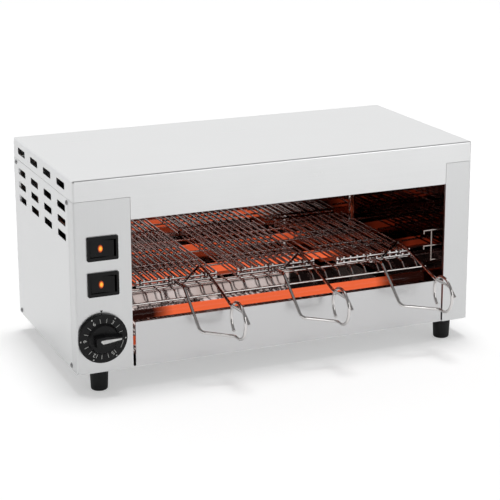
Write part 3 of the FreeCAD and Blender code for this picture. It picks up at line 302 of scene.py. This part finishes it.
satin_sheets = (
    (satin_steel("satin_steel_across", LINES_ALONG_X), ("top_cover", "rear_panel", "base_pan")),
    (satin_steel("satin_steel_sides", LINES_ALONG_Y), ("left_side_panel", "right_side_panel")),
    (satin_steel("satin_steel_columns_shaded", LINES_ALONG_Z, COLUMN_STEEL_SHADED),
     ("control_panel", "right_column")),
)
for steel, sheets in satin_sheets:
    for node in sheets:
        dress(node, steel)
print("satin sheets", sum(len(sheets) for steel, sheets in satin_sheets))

# %% [markdown]
# The chamber's walls are polished until they mirror the tubes and tongs. Thin polished sheet
# is never quite flat, so a slow noise tilts its normal a little and the reflections wander.
# Heat leaves a faint straw tint. The right wall's deep brown is painted shade: the dark that
# this wall mirrors is put into its colour. The rear wall gets a brighter copy of the polish,
# which is painted light, so the wires it mirrors come out brighter.

# %% Mirror-polished chamber sheet
MIRROR_CLEAN = (0.52, 0.48, 0.47)
MIRROR_STAINED = (0.42, 0.36, 0.34)
# The rear wall's brighter colour is painted light.
MIRROR_PAINTED_LIGHT = (0.74, 0.70, 0.69)
# The right wall's two browns are painted shade.
PAINTED_SHADE_BROWN = (0.12, 0.065, 0.06)
PAINTED_SHADE_DARK = (0.055, 0.028, 0.026)
STAIN_SCALE = 22.0
STAIN_ROUGHNESS = 0.05
LOW_STOP, HIGH_STOP = 0.3, 0.7
WAVES = (5.0, 5.0, 9.0)
WAVE_DEPTH = 0.002
POLISH = 0.01


def heat_stain(finish):
    return finish.noise(finish.place(), STAIN_SCALE, detail=4.0)


def shaded(finish, pattern, low, high):
    """One colour where the pattern is low, another where it is high, and a soft change."""
    return finish.ramp(pattern, [(LOW_STOP, low), (HIGH_STOP, high)])


def mirror_steel(name, stained, clean, waviness=0.4):
    finish = Finish(name, metallic=1.0)
    waves = finish.noise(finish.stretched(WAVES), 1.0, detail=1.0)
    stain = heat_stain(finish)
    return finish.drive(base_color=shaded(finish, stain, stained, clean),
                        roughness=stain * STAIN_ROUGHNESS + POLISH,
                        normal=finish.bump(waves, waviness, WAVE_DEPTH))


mirror = mirror_steel("mirror_steel", MIRROR_STAINED, MIRROR_CLEAN)
for node in ("left_chamber_wall", "upper_reflector"):
    dress(node, mirror)
# Rear wall: a brighter copy of the polish, painted light.
dress("rear_chamber_wall", mirror_steel("clean_mirror_steel", MIRROR_CLEAN, MIRROR_PAINTED_LIGHT))
# Right wall: a near-black brown, painted shade.
dress("right_chamber_wall", mirror_steel("shaded_mirror_steel", PAINTED_SHADE_DARK, PAINTED_SHADE_BROWN))
print("waves in the polish every", round(1000 / WAVES[0]), "mm or so")

# %% [markdown]
# The rear and right walls meet in a small concave bend. A strip with that hollow section stands
# in the corner. It sweeps its mirror image through a quarter turn, so the bright wires of the
# tongs gather in it as one thin upright line of dashes. Its polish is far brighter than the
# walls', which adds painted highlight to that real reflection. A section of a few points, drawn
# twice and joined by faces, is the plainest way to such a strip.

# %% Bend in the rear right corner
BEND_RADIUS = 0.0044
BEND_STEPS = 10
# The bend's bright polish is painted highlight added to its real reflection.
BEND_LIT_STAINED = (0.86, 0.84, 0.83)
BEND_LIT_CLEAN = (0.92, 0.90, 0.89)
BEND_WAVINESS = 0.1


def bend_section(corner_x, corner_y):
    section = [(corner_x, corner_y)]
    for step in range(BEND_STEPS, -1, -1):
        angle = math.pi / 2 * step / BEND_STEPS
        section.append((corner_x - BEND_RADIUS * (1 - math.cos(angle)),
                        corner_y - BEND_RADIUS * (1 - math.sin(angle))))
    return section


def corner_bend():
    side_low, side_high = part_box("right_chamber_wall")
    section = bend_section(side_low.x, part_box("rear_chamber_wall")[0].y)
    count = len(section)
    points = [(x, y, z) for z in (side_low.z, side_high.z) for x, y in section]
    around = [(i, (i + 1) % count, (i + 1) % count + count, i + count) for i in range(count)]
    caps = [tuple(reversed(range(count))), tuple(range(count, 2 * count))]
    mesh = bpy.data.meshes.new("corner_bend")
    mesh.from_pydata(points, [], around + caps)
    for face in mesh.polygons:
        face.use_smooth = 0 < face.index < count - 1
    polish = mirror_steel("bend_highlit_mirror_steel", BEND_LIT_STAINED, BEND_LIT_CLEAN, BEND_WAVINESS)
    mesh.materials.append(polish)
    piece = into_scene("corner_bend", mesh)
    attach(piece, "case")
    print("bend", round((side_high.z - side_low.z) * 1000), "mm high")


corner_bend()

# %% [markdown]
# The crumb tray is one folded sheet with two finishes. Its front panel is satin like the case
# but darker, and that darkening is painted shade, the shadowed floor just below it put into its
# colour. Everything behind that panel is polished like the chamber. A mask on the depth of a
# point picks one or the other, so the two meet at the panel's inner face.

# %% Crumb tray
# The front panel's darker colour is painted shade.
TRAY_FRONT_SHADED = (0.64, 0.64, 0.645)
PANEL_DEPTH = 0.0009
FRONT_ROUGHNESS = 0.26


def tray_steel():
    finish = Finish("tray_steel", metallic=1.0)
    inside = finish.axis("Y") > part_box("crumb_tray")[0].y + PANEL_DEPTH
    lines = mill_lines(finish, LINES_ALONG_X)
    stain = heat_stain(finish)
    polished = shaded(finish, stain, MIRROR_STAINED, MIRROR_CLEAN)
    roughness = (inside * (stain * STAIN_ROUGHNESS + POLISH)
                 + (1 - inside) * (lines * LINE_ROUGHNESS + FRONT_ROUGHNESS))
    return finish.drive(base_color=finish.blend(inside, (*TRAY_FRONT_SHADED, 1.0), polished),
                        roughness=roughness,
                        normal=finish.bump(lines * (1 - inside), LINE_BUMP, LINE_DEPTH))


dress("crumb_tray", tray_steel())
tray_low, tray_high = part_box("crumb_tray")
print("tray", round((tray_high.x - tray_low.x) * 1000), "mm wide")

# %% [markdown]
# Guards and tongs are bright plated wire. The plating is smooth, so the roughness stays low,
# and a little noise keeps the highlights from being perfectly even. The handles of the tongs
# hang outside and stay bright. The wires that lie in the chamber are painted a darker brown,
# which is painted shade, so the tongs' finish turns browner with depth into the chamber.

# %% Plated wire
PLATING_SCALE = 260.0
PLATING_ROUGHNESS = 0.08
DULL_SHARE = 0.86
# Depth into the chamber over which the tongs are painted darker: painted shade.
CHAMBER_SHADE_START = -0.060
CHAMBER_SHADE_FULL = -0.040


def plating(finish):
    return finish.noise(finish.place(), PLATING_SCALE, detail=3.0)


def plated_wire(name, base, roughness):
    finish = Finish(name, metallic=1.0)
    grain = plating(finish)
    dull = tuple(v * DULL_SHARE for v in base)
    return finish.drive(base_color=shaded(finish, grain, dull, base),
                        roughness=grain * PLATING_ROUGHNESS + roughness)


def tong_wire(bright, in_shade):
    finish = Finish("tong_wire", metallic=1.0)
    # Painted shade: the wires darken with depth into the chamber.
    chamber_shade = finish.axis("Y").rising(CHAMBER_SHADE_START, CHAMBER_SHADE_FULL)
    return finish.drive(base_color=finish.blend(chamber_shade, (*bright, 1.0), (*in_shade, 1.0)),
                        roughness=plating(finish) * PLATING_ROUGHNESS + 0.05)


# The second colour is the tongs' painted shade inside the chamber.
bright_wire = tong_wire((0.74, 0.72, 0.71), (0.36, 0.32, 0.31))
hot_wire = plated_wire("heated_wire", (0.66, 0.62, 0.60), 0.08)
tong_names = ("left", "middle", "right")
for name in tong_names:
    dress("lower_jaw_" + name, bright_wire)
    dress("upper_jaw_" + name, bright_wire)
for node in ("lower_wire_guard", "upper_wire_guard"):
    dress(node, hot_wire)
# The bracket's darker wire is painted shade.
dress("side_wire_bracket", plated_wire("shaded_bracket_wire", (0.34, 0.30, 0.28), 0.12))
print("tongs", len(tong_names))

# %% [markdown]
# The quartz tubes glow from the coil inside them. The glow fills the middle of each tube and
# dies away before its ends, which stay dark and glassy. The tube's own glow stands for the
# light that the quartz scatters. The quartz lets a fifth of what is behind it through.

# %% Glowing quartz
COLD_END = 0.046
GLOW_FADE = 0.022
COLD_GLOW = (0.012, 0.002, 0.001)
DIM_STOP, DIM_SHARE = 0.45, 0.35
DARK_QUARTZ = (0.03, 0.02, 0.02, 1.0)
QUARTZ_SHEEN = 0.18
tube_low, tube_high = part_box("quartz_tube_lower_front")
tube_middle = (tube_low.x + tube_high.x) / 2
hot_half = (tube_high.x - tube_low.x) / 2 - COLD_END


def glowing(name, hot, strength, alpha):
    finish = Finish(name, roughness=0.10, emission_strength=strength, alpha=alpha,
                    base_color=DARK_QUARTZ)
    finish.fix("Specular IOR Level", QUARTZ_SHEEN)
    reach = abs(finish.axis("X") - tube_middle)
    mask = ((hot_half - reach) / GLOW_FADE).limited()
    dim = tuple(v * DIM_SHARE for v in hot)
    stops = [(0.0, COLD_GLOW), (DIM_STOP, dim), (1.0, hot)]
    return finish.drive(emission_color=finish.ramp(mask, stops))


tube_glow = glowing("quartz_glow", (0.82, 0.13, 0.045), 1.0, 0.8)
coil_glow = glowing("coil_glow", (1.0, 0.30, 0.07), 1.6, 1.0)
tube_names = ("lower_front", "lower_rear", "upper_front", "upper_rear")
for name in tube_names:
    dress("quartz_tube_" + name, tube_glow)
print("glow over", round(2000 * hot_half), "mm of", round((tube_high.x - tube_low.x) * 1000), "mm")

# %% [markdown]
# Small parts have one colour each, but no moulded, fired or plated surface is perfectly even.
# A fine noise varies the colour, the roughness and the bump together, so one function serves
# the caps of the tubes and, further down, plastic, rubber, zinc and brass.

# %% One finish for small parts
UNEVEN = 0.12
SPECK_ROUGHNESS = 0.12
SPECK_DEPTH = 0.0002


def plain(name, colour, roughness, metallic=0.0, grain=180.0, bump=0.05, gloss=0.5):
    """A finish for small parts: one colour, a little uneven, with a fine grain."""
    finish = Finish(name, metallic=metallic)
    finish.fix("Specular IOR Level", gloss)
    speck = finish.noise(finish.place(), grain, detail=4.0)
    low = tuple(v * (1 - UNEVEN) for v in colour)
    high = tuple(min(1.0, v * (1 + UNEVEN)) for v in colour)
    return finish.drive(base_color=shaded(finish, speck, low, high),
                        roughness=speck * SPECK_ROUGHNESS + (roughness - SPECK_ROUGHNESS / 2),
                        normal=finish.bump(speck, bump, SPECK_DEPTH))


dress("tube_end_caps", plain("steatite", (0.80, 0.77, 0.70), 0.6))

# %% [markdown]
# Coils, ticks and dots repeat one shape by a rule, which is what Geometry Nodes are for.
# `Recipe` builds such a tree a node at a time, with named inputs for its sizes. `make` runs it
# once on an empty object and keeps the result as a plain mesh, so no modifier stays behind.

# %% Recipes for repeated shapes


class Recipe:
    """A Geometry Nodes tree, built a node at a time, that ends as a plain mesh."""

    def __init__(self, name, *inputs):
        self.tree = bpy.data.node_groups.new(name, "GeometryNodeTree")
        sockets = self.tree.interface
        for label, kind in inputs:
            sockets.new_socket(name=label, in_out="INPUT", socket_type="NodeSocket" + kind)
        sockets.new_socket(name="Geometry", in_out="OUTPUT", socket_type="NodeSocketGeometry")
        self.entry = self.tree.nodes.new("NodeGroupInput")

    def size(self, name):
        return self.entry.outputs[name]

    def add(self, kind, settings=None, inputs=None, output=0):
        node = self.tree.nodes.new(kind)
        for key, value in (settings or {}).items():
            setattr(node, key, value)
        for key, value in (inputs or {}).items():
            if isinstance(value, bpy.types.NodeSocket):
                self.tree.links.new(value, node.inputs[key])
            else:
                node.inputs[key].default_value = value
        return node.outputs[output]

    def finish_with(self, geometry, material):
        solid = self.add("GeometryNodeRealizeInstances", inputs={"Geometry": geometry})
        painted = self.add("GeometryNodeSetMaterial",
                           inputs={"Geometry": solid, "Material": material})
        leave = self.tree.nodes.new("NodeGroupOutput")
        self.tree.links.new(painted, leave.inputs[0])

    def make(self, name, sizes):
        holder = into_scene(name + "_maker", bpy.data.meshes.new(name + "_maker"))
        modifier = holder.modifiers.new("maker", "NODES")
        modifier.node_group = self.tree
        for entry in self.tree.interface.items_tree:
            if entry.in_out == "INPUT":
                modifier[entry.identifier] = sizes[entry.name]
        bpy.context.view_layer.update()
        graph = bpy.context.evaluated_depsgraph_get()
        mesh = bpy.data.meshes.new_from_object(holder.evaluated_get(graph))
        holder.modifiers.clear()
        bpy.data.objects.remove(holder)
        print(name, len(mesh.polygons), "faces")
        return into_scene(name, mesh)


# %% [markdown]
# Each heating coil is a wound wire. The solid for it is a plain rod of the coil's outer size,
# and the winding lies flush in that rod's surface, where it barely shows behind the tube's
# glow. The tree makes a spiral curve, lays it along the tube and gives it a round section and
# its finish.

# %% Wound heating coils
COIL_PITCH = 0.0034
COIL_WIRE = 0.0005
POINTS_PER_TURN = 14
WIRE_SIDES = 6


def coil_recipe():
    recipe = Recipe("coil", ("Turns", "Float"), ("Coil radius", "Float"), ("Wire radius", "Float"),
                    ("Length", "Float"), ("Centre", "Vector"))
    spiral = recipe.add("GeometryNodeCurveSpiral", inputs={
        "Resolution": POINTS_PER_TURN, "Rotations": recipe.size("Turns"),
        "Start Radius": recipe.size("Coil radius"), "End Radius": recipe.size("Coil radius"),
        "Height": recipe.size("Length")})
    laid = recipe.add("GeometryNodeTransform", inputs={
        "Geometry": spiral, "Rotation": (0.0, math.pi / 2, 0.0),
        "Translation": recipe.size("Centre")})
    section = recipe.add("GeometryNodeCurvePrimitiveCircle", inputs={
        "Resolution": WIRE_SIDES, "Radius": recipe.size("Wire radius")})
    wire = recipe.add("GeometryNodeCurveToMesh", inputs={
        "Curve": laid, "Profile Curve": section, "Fill Caps": True})
    smooth = recipe.add("GeometryNodeSetShadeSmooth", inputs={"Geometry": wire})
    recipe.finish_with(smooth, coil_glow)
    return recipe


coil_maker = coil_recipe()
lead = plain("lead", (0.30, 0.28, 0.27), 0.4, metallic=1.0)
for name in tube_names:
    low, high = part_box("heating_element_" + name)
    start = Vector((tube_middle - hot_half, (low.y + high.y) / 2, (low.z + high.z) / 2))
    coil = coil_maker.make("heating_coil_" + name, {
        "Turns": 2 * hot_half / COIL_PITCH, "Coil radius": (high.z - low.z) / 2 - COIL_WIRE,
        "Wire radius": COIL_WIRE, "Length": 2 * hot_half, "Centre": start})
    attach(coil, "case")
    dress("heating_element_" + name, lead)

# %% [markdown]
# Switches, knob and feet are black, but not the same black: the switch bezels and the knob are
# moulded plastic with a soft sheen, and the feet are dull rubber with a coarser grain.

# %% Black plastic and rubber
LOW_GLOSS = 0.2
moulded_black = plain("moulded_black", (0.006, 0.006, 0.0065), 0.30, bump=0.08, gloss=LOW_GLOSS)
knob_black = plain("knob_black", (0.007, 0.007, 0.0075), 0.26, gloss=LOW_GLOSS)
foot_rubber = plain("foot_rubber", (0.013, 0.013, 0.0135), 0.55, grain=90.0, bump=0.2,
                    gloss=LOW_GLOSS)
moulded_parts = ("upper_switch_housing", "lower_switch_housing", "upper_rocker", "lower_rocker",
                 "cable_gland", "gland_nut")
for node in moulded_parts:
    dress(node, moulded_black)
dress("timer_knob", knob_black)
dress("rubber_feet", foot_rubber)
dress("knob_pointer", plain("pointer_white", (0.80, 0.80, 0.79), 0.35))
print("moulded parts", len(moulded_parts))

# %% [markdown]
# Each rocker has an amber lens with a small lamp behind it. The lamp lights the lens's middle,
# and the rim stays a deep red. A ramp on the distance from the middle does both, and the glow
# is the lens's own, because a real lamp in there would be too small to see.

# %% Lit lenses
LENS_STOPS = [(0.0, (1.0, 0.58, 0.06)), (0.18, (1.0, 0.38, 0.02)), (0.45, (0.50, 0.06, 0.0)),
              (0.75, (0.05, 0.004, 0.0))]


def lit_lens(node):
    low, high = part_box(node)
    finish = Finish("lit_" + node, roughness=0.2, emission_strength=1.0,
                    base_color=(0.35, 0.05, 0.005, 1.0))
    across = (finish.axis("X") - (low.x + high.x) / 2) / ((high.x - low.x) / 2)
    up = (finish.axis("Z") - (low.z + high.z) / 2) / ((high.z - low.z) / 2)
    return finish.drive(emission_color=finish.ramp(across * across + up * up, LENS_STOPS))


for name in ("upper_rocker_lens", "lower_rocker_lens"):
    dress(name, lit_lens(name))
    print(name, "lit")

# %% [markdown]
# The dial carries white print. Beside each of its six numbers stands a dot, between two
# neighbours stand two short ticks, and a curved bar marks the rest position. Print is a skin a
# tenth of a millimetre thick here. Ticks and dots repeat round a circle, so one small tree of
# Geometry Nodes turns a copied mark by a steady step, and it turns nine marks into the bar.

# %% Ticks and dots on the dial
DIAL_THICKNESS = 0.0026
PRINT = 0.0001
FIRST_ANGLE = math.radians(-5)
NUMBER_STEP = math.radians(62)
NUMBERS = (0, 3, 6, 9, 12, 15)
TICK_SIZE, TICK_RING = (0.0045, 2 * PRINT, 0.0004), 0.74
DOT_SIZE, DOT_RING = (0.0013, 2 * PRINT, 0.0013), 0.92
BAR_SIZE, BAR_RING = (0.0006, 2 * PRINT, 0.0012), 0.83
BAR_MARKS = 9
BAR_START = math.radians(26)
BAR_STEP = math.radians(2.4)
knob_low, knob_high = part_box("timer_knob")
dial_radius = (knob_high.x - knob_low.x) / 2
dial_centre = Vector(((knob_low.x + knob_high.x) / 2, knob_high.y - DIAL_THICKNESS,
                      (knob_low.z + knob_high.z) / 2))
print_white = plain("dial_print", (0.62, 0.62, 0.60), 0.5, bump=0.02)


def marks_recipe():
    recipe = Recipe("dial_marks", ("Count", "Int"), ("First angle", "Float"), ("Step", "Float"),
                    ("Mark size", "Vector"), ("Radius", "Float"), ("Centre", "Vector"))
    points = recipe.add("GeometryNodeMeshLine", inputs={
        "Count": recipe.size("Count"), "Offset": (0, 0, 0)})
    mark = recipe.add("GeometryNodeMeshCube", inputs={"Size": recipe.size("Mark size")})
    reach = recipe.add("ShaderNodeCombineXYZ", inputs={"X": recipe.size("Radius")})
    placed = recipe.add("GeometryNodeTransform", inputs={"Geometry": mark, "Translation": reach})
    steps = recipe.add("ShaderNodeMath", {"operation": "MULTIPLY_ADD"}, {
        0: recipe.add("GeometryNodeInputIndex"), 1: recipe.size("Step"),
        2: recipe.size("First angle")})
    back = recipe.add("ShaderNodeMath", {"operation": "MULTIPLY"}, {0: steps, 1: -1.0})
    turned = recipe.add("ShaderNodeCombineXYZ", inputs={"Y": back})
    copies = recipe.add("GeometryNodeInstanceOnPoints", inputs={
        "Points": points, "Instance": placed, "Rotation": turned})
    laid = recipe.add("GeometryNodeTransform", inputs={
        "Geometry": copies, "Translation": recipe.size("Centre")})
    recipe.finish_with(laid, print_white)
    return recipe


marks_maker = marks_recipe()


def print_marks(name, count, first, step, size, ring):
    marks = marks_maker.make(name, {"Count": count, "First angle": first, "Step": step,
                                    "Mark size": size, "Radius": dial_radius * ring,
                                    "Centre": dial_centre})
    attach(marks, "knob")


for third in (1, 2):
    print_marks("dial_ticks_" + str(third), len(NUMBERS) - 1, FIRST_ANGLE + NUMBER_STEP * third / 3,
                NUMBER_STEP, TICK_SIZE, TICK_RING)
print_marks("dial_dots", len(NUMBERS), FIRST_ANGLE, NUMBER_STEP, DOT_SIZE, DOT_RING)
print_marks("dial_rest_bar", BAR_MARKS, FIRST_ANGLE - BAR_START, BAR_STEP, BAR_SIZE, BAR_RING)

# %% [markdown]
# The numbers read outwards, so each one's top points away from the dial's middle. A text object
# gives the figures their shape. It becomes a mesh while it still lies flat, is then turned
# upright and round the dial, and sinks half its thickness into the plastic.

# %% Numbers on the dial
NUMBER_SIZE = 0.0056
NUMBER_RING = 0.73


def number_mesh(number):
    words = bpy.data.curves.new("number", "FONT")
    words.body = str(number)
    words.size = NUMBER_SIZE
    words.align_x = "CENTER"
    words.align_y = "CENTER"
    words.extrude = PRINT
    writer = into_scene("number", words)
    bpy.context.view_layer.update()
    mesh = bpy.data.meshes.new_from_object(writer)
    bpy.data.objects.remove(writer)
    return mesh


def print_number(number, angle):
    mesh = number_mesh(number)
    out = Vector((math.cos(angle), 0, math.sin(angle)))
    upright = Matrix.Rotation(math.pi / 2, 4, "X")
    turned = Matrix.Rotation(math.pi / 2 - angle, 4, "Y")
    there = Matrix.Translation(dial_centre + out * dial_radius * NUMBER_RING)
    mesh.transform(there @ turned @ upright)
    mesh.materials.clear()
    mesh.materials.append(print_white)
    piece = into_scene("dial_number_" + str(number), mesh)
    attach(piece, "knob")


for place, number in enumerate(NUMBERS):
    print_number(number, FIRST_ANGLE + NUMBER_STEP * place)
print("dial radius", round(dial_radius * 1000, 1), "mm")

# %% [markdown]
# A small black arrowhead on the panel points down at the dial. It is printed on the case, so it
# stays where it is while the dial turns. Three corners on the panel and three in front of them
# make its thin skin.

# %% Index mark
ARROW_WIDTH = 0.0030
ARROW_HEIGHT = 0.0026
ARROW_GAP = 0.0003


def index_mark():
    panel_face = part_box("control_panel")[0].y
    tip = dial_centre.z + dial_radius + ARROW_GAP
    corners = [(-ARROW_WIDTH / 2, ARROW_HEIGHT), (ARROW_WIDTH / 2, ARROW_HEIGHT), (0.0, 0.0)]
    skin = [Vector((dial_centre.x + x, panel_face - y, tip + z))
            for y in (PRINT, 0) for x, z in corners]
    mesh = bpy.data.meshes.new("index_mark")
    mesh.from_pydata(skin, [], [(0, 2, 1), (3, 4, 5), (0, 1, 4, 3), (1, 2, 5, 4), (2, 0, 3, 5)])
    mesh.materials.append(plain("index_print", (0.02, 0.02, 0.02), 0.5))
    piece = into_scene("index_mark", mesh)
    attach(piece, "case")
    print("index mark's tip at", round(tip * 1000, 1), "mm")


index_mark()

# %% [markdown]
# The inner parts show through the vents and from below, so they get honest finishes too:
# zinc-plated steel, brass, moulded terminal plastic, a bell and sleeved wires. The screws in
# the case's outer panels are plain darker steel.

# %% Inner parts and fasteners
small_parts = (
    (plain("zinc_plate", (0.55, 0.56, 0.58), 0.35, metallic=1.0),
     ("timer_body", "timer_screws", "timer_shaft", "foot_screws", "foot_nuts", "heat_shield")),
    (plain("dark_screw", (0.26, 0.26, 0.265), 0.28, metallic=1.0),
     ("left_side_screws", "right_side_screws", "rear_screws")),
    (plain("brass", (0.70, 0.50, 0.20), 0.28, metallic=1.0),
     ("timer_bell", "terminal_screws", "earth_stud")),
    (plain("terminal_plastic", (0.75, 0.72, 0.64), 0.5), ("terminal_block",)),
    (plain("wire_sleeve", (0.42, 0.12, 0.06), 0.5), ("control_wiring", "tube_link_wires")),
)
for finish, nodes in small_parts:
    for node in nodes:
        dress(node, finish)
print("inner parts and fasteners", sum(len(nodes) for finish, nodes in small_parts))

# %% [markdown]
# The toaster stands on a pale floor. The floor is part glow and part lit surface, so it looks
# white where it is open and still carries the toaster's soft shadow. Light Path says what kind
# of ray looks at it: the glow is for the camera and, fainter, for mirror rays, and it adds no
# light to the toaster.

# %% Pale floor
FLOOR_GLOW = 2.6
GLOW_SEEN = 0.14
GLOW_MIRRORED = 0.06
FLOOR_PAINT = (0.82, 0.82, 0.82, 1.0)
FLOOR_HALF = 6.0
WHITE = (1.0, 1.0, 1.0, 1.0)


def ray_kinds(tree):
    """Says of a ray whether the camera sends it, and whether metal or glass passes it on."""
    path = tree.nodes.new("ShaderNodeLightPath")
    camera_ray, glossy_ray, clear_ray = (Signal(tree, path.outputs[name]) for name in (
        "Is Camera Ray", "Is Glossy Ray", "Is Transmission Ray"))
    return camera_ray, (glossy_ray + clear_ray).limited()


def pale_floor():
    finish = Finish("pale_floor", roughness=0.9, base_color=FLOOR_PAINT)
    camera_ray, mirrored = ray_kinds(finish.tree)
    glow = finish.add("Emission", inputs={"Color": WHITE, "Strength": FLOOR_GLOW})
    mix = finish.tree.nodes.new("ShaderNodeMixShader")
    finish.feed(mix.inputs["Fac"], camera_ray * GLOW_SEEN + mirrored * GLOW_MIRRORED)
    finish.tree.links.new(finish.surface.outputs[0], mix.inputs[1])
    finish.tree.links.new(glow.socket, mix.inputs[2])
    finish.tree.links.new(mix.outputs[0], finish.tree.nodes["Material Output"].inputs["Surface"])
    return finish.material


floor_mesh = bpy.data.meshes.new("floor")
floor_corners = [(-FLOOR_HALF, -FLOOR_HALF, 0), (FLOOR_HALF, -FLOOR_HALF, 0),
                 (FLOOR_HALF, FLOOR_HALF, 0), (-FLOOR_HALF, FLOOR_HALF, 0)]
floor_mesh.from_pydata(floor_corners, [], [(0, 1, 2, 3)])
floor_mesh.materials.append(pale_floor())
floor = into_scene("floor", floor_mesh)
floor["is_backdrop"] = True
print("floor", 2 * FLOOR_HALF, "m across")

# %% [markdown]
# The surround is a plain world light, dim on everything, and the camera sees it as a white
# backdrop. Mirror rays see more of a studio: the white backdrop behind the toaster, a dark room
# in front of it and a grey ceiling. Without something dark to mirror, polished steel would
# look like white paint.

# %% Surround
DIM_SURROUND = 0.42
DARK_ROOM = 0.08
GREY_CEILING = 0.22
BACKDROP_START = -0.10
BACKDROP_FULL = 0.30
CEILING_START = 0.20
CEILING_FULL = 0.40
world = bpy.data.worlds.new("surround")
bpy.context.scene.world = world
world.use_nodes = True
sky = world.node_tree


def surround_light():
    camera_ray, mirrored = ray_kinds(sky)
    way = sky.nodes.new("ShaderNodeTexCoord")
    parts = sky.nodes.new("ShaderNodeSeparateXYZ")
    sky.links.new(way.outputs["Generated"], parts.inputs[0])
    backdrop = Signal(sky, parts.outputs["Y"]).rising(BACKDROP_START, BACKDROP_FULL)
    ceiling = Signal(sky, parts.outputs["Z"]).rising(CEILING_START, CEILING_FULL)
    room = DARK_ROOM + ceiling * (GREY_CEILING - DARK_ROOM)
    in_mirror = room + backdrop * (1.0 - room)
    others = DIM_SURROUND + camera_ray * (1.0 - DIM_SURROUND)
    return others + mirrored * (in_mirror - others)


sky_light = sky.nodes["Background"]
sky_light.inputs["Color"].default_value = WHITE
sky.links.new(surround_light().socket, sky_light.inputs["Strength"])
print("surround at", DIM_SURROUND, "of white")

# %% [markdown]
# Two soft area lamps do the rest. A large one hangs high above and a little behind the toaster,
# lights every surface and makes the soft shadow. A bright card stands low at the front right,
# and only metal shows it: the polished walls and wires mirror it.

# %% Soft lamps
AIM = Vector((0, 0, 0.1))


def soft_lamp(name, where, size, power, mirrored):
    data = bpy.data.lights.new(name, "AREA")
    data.size = size
    data.energy = power
    lamp = into_scene(name, data)
    lamp.visible_glossy = mirrored
    lamp.visible_diffuse = not mirrored
    lamp.location = where
    lamp.rotation_euler = (AIM - Vector(where)).to_track_quat("-Z", "Y").to_euler()
    print(name, power, "W, mirrored" if mirrored else "W, not mirrored")


soft_lamp("top_softbox", (0.55, 0.9, 9.75), 2.8, 530, False)
soft_lamp("front_card", (0.95, -1.95, 0.68), 1.3, 9.5, True)

# %% [markdown]
# The last cell prints how far the finished object reaches, from its lowest corner to its highest.

# %% Size of the finished object
low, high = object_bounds()
print("finished object from", rounded(low), "to", rounded(high))
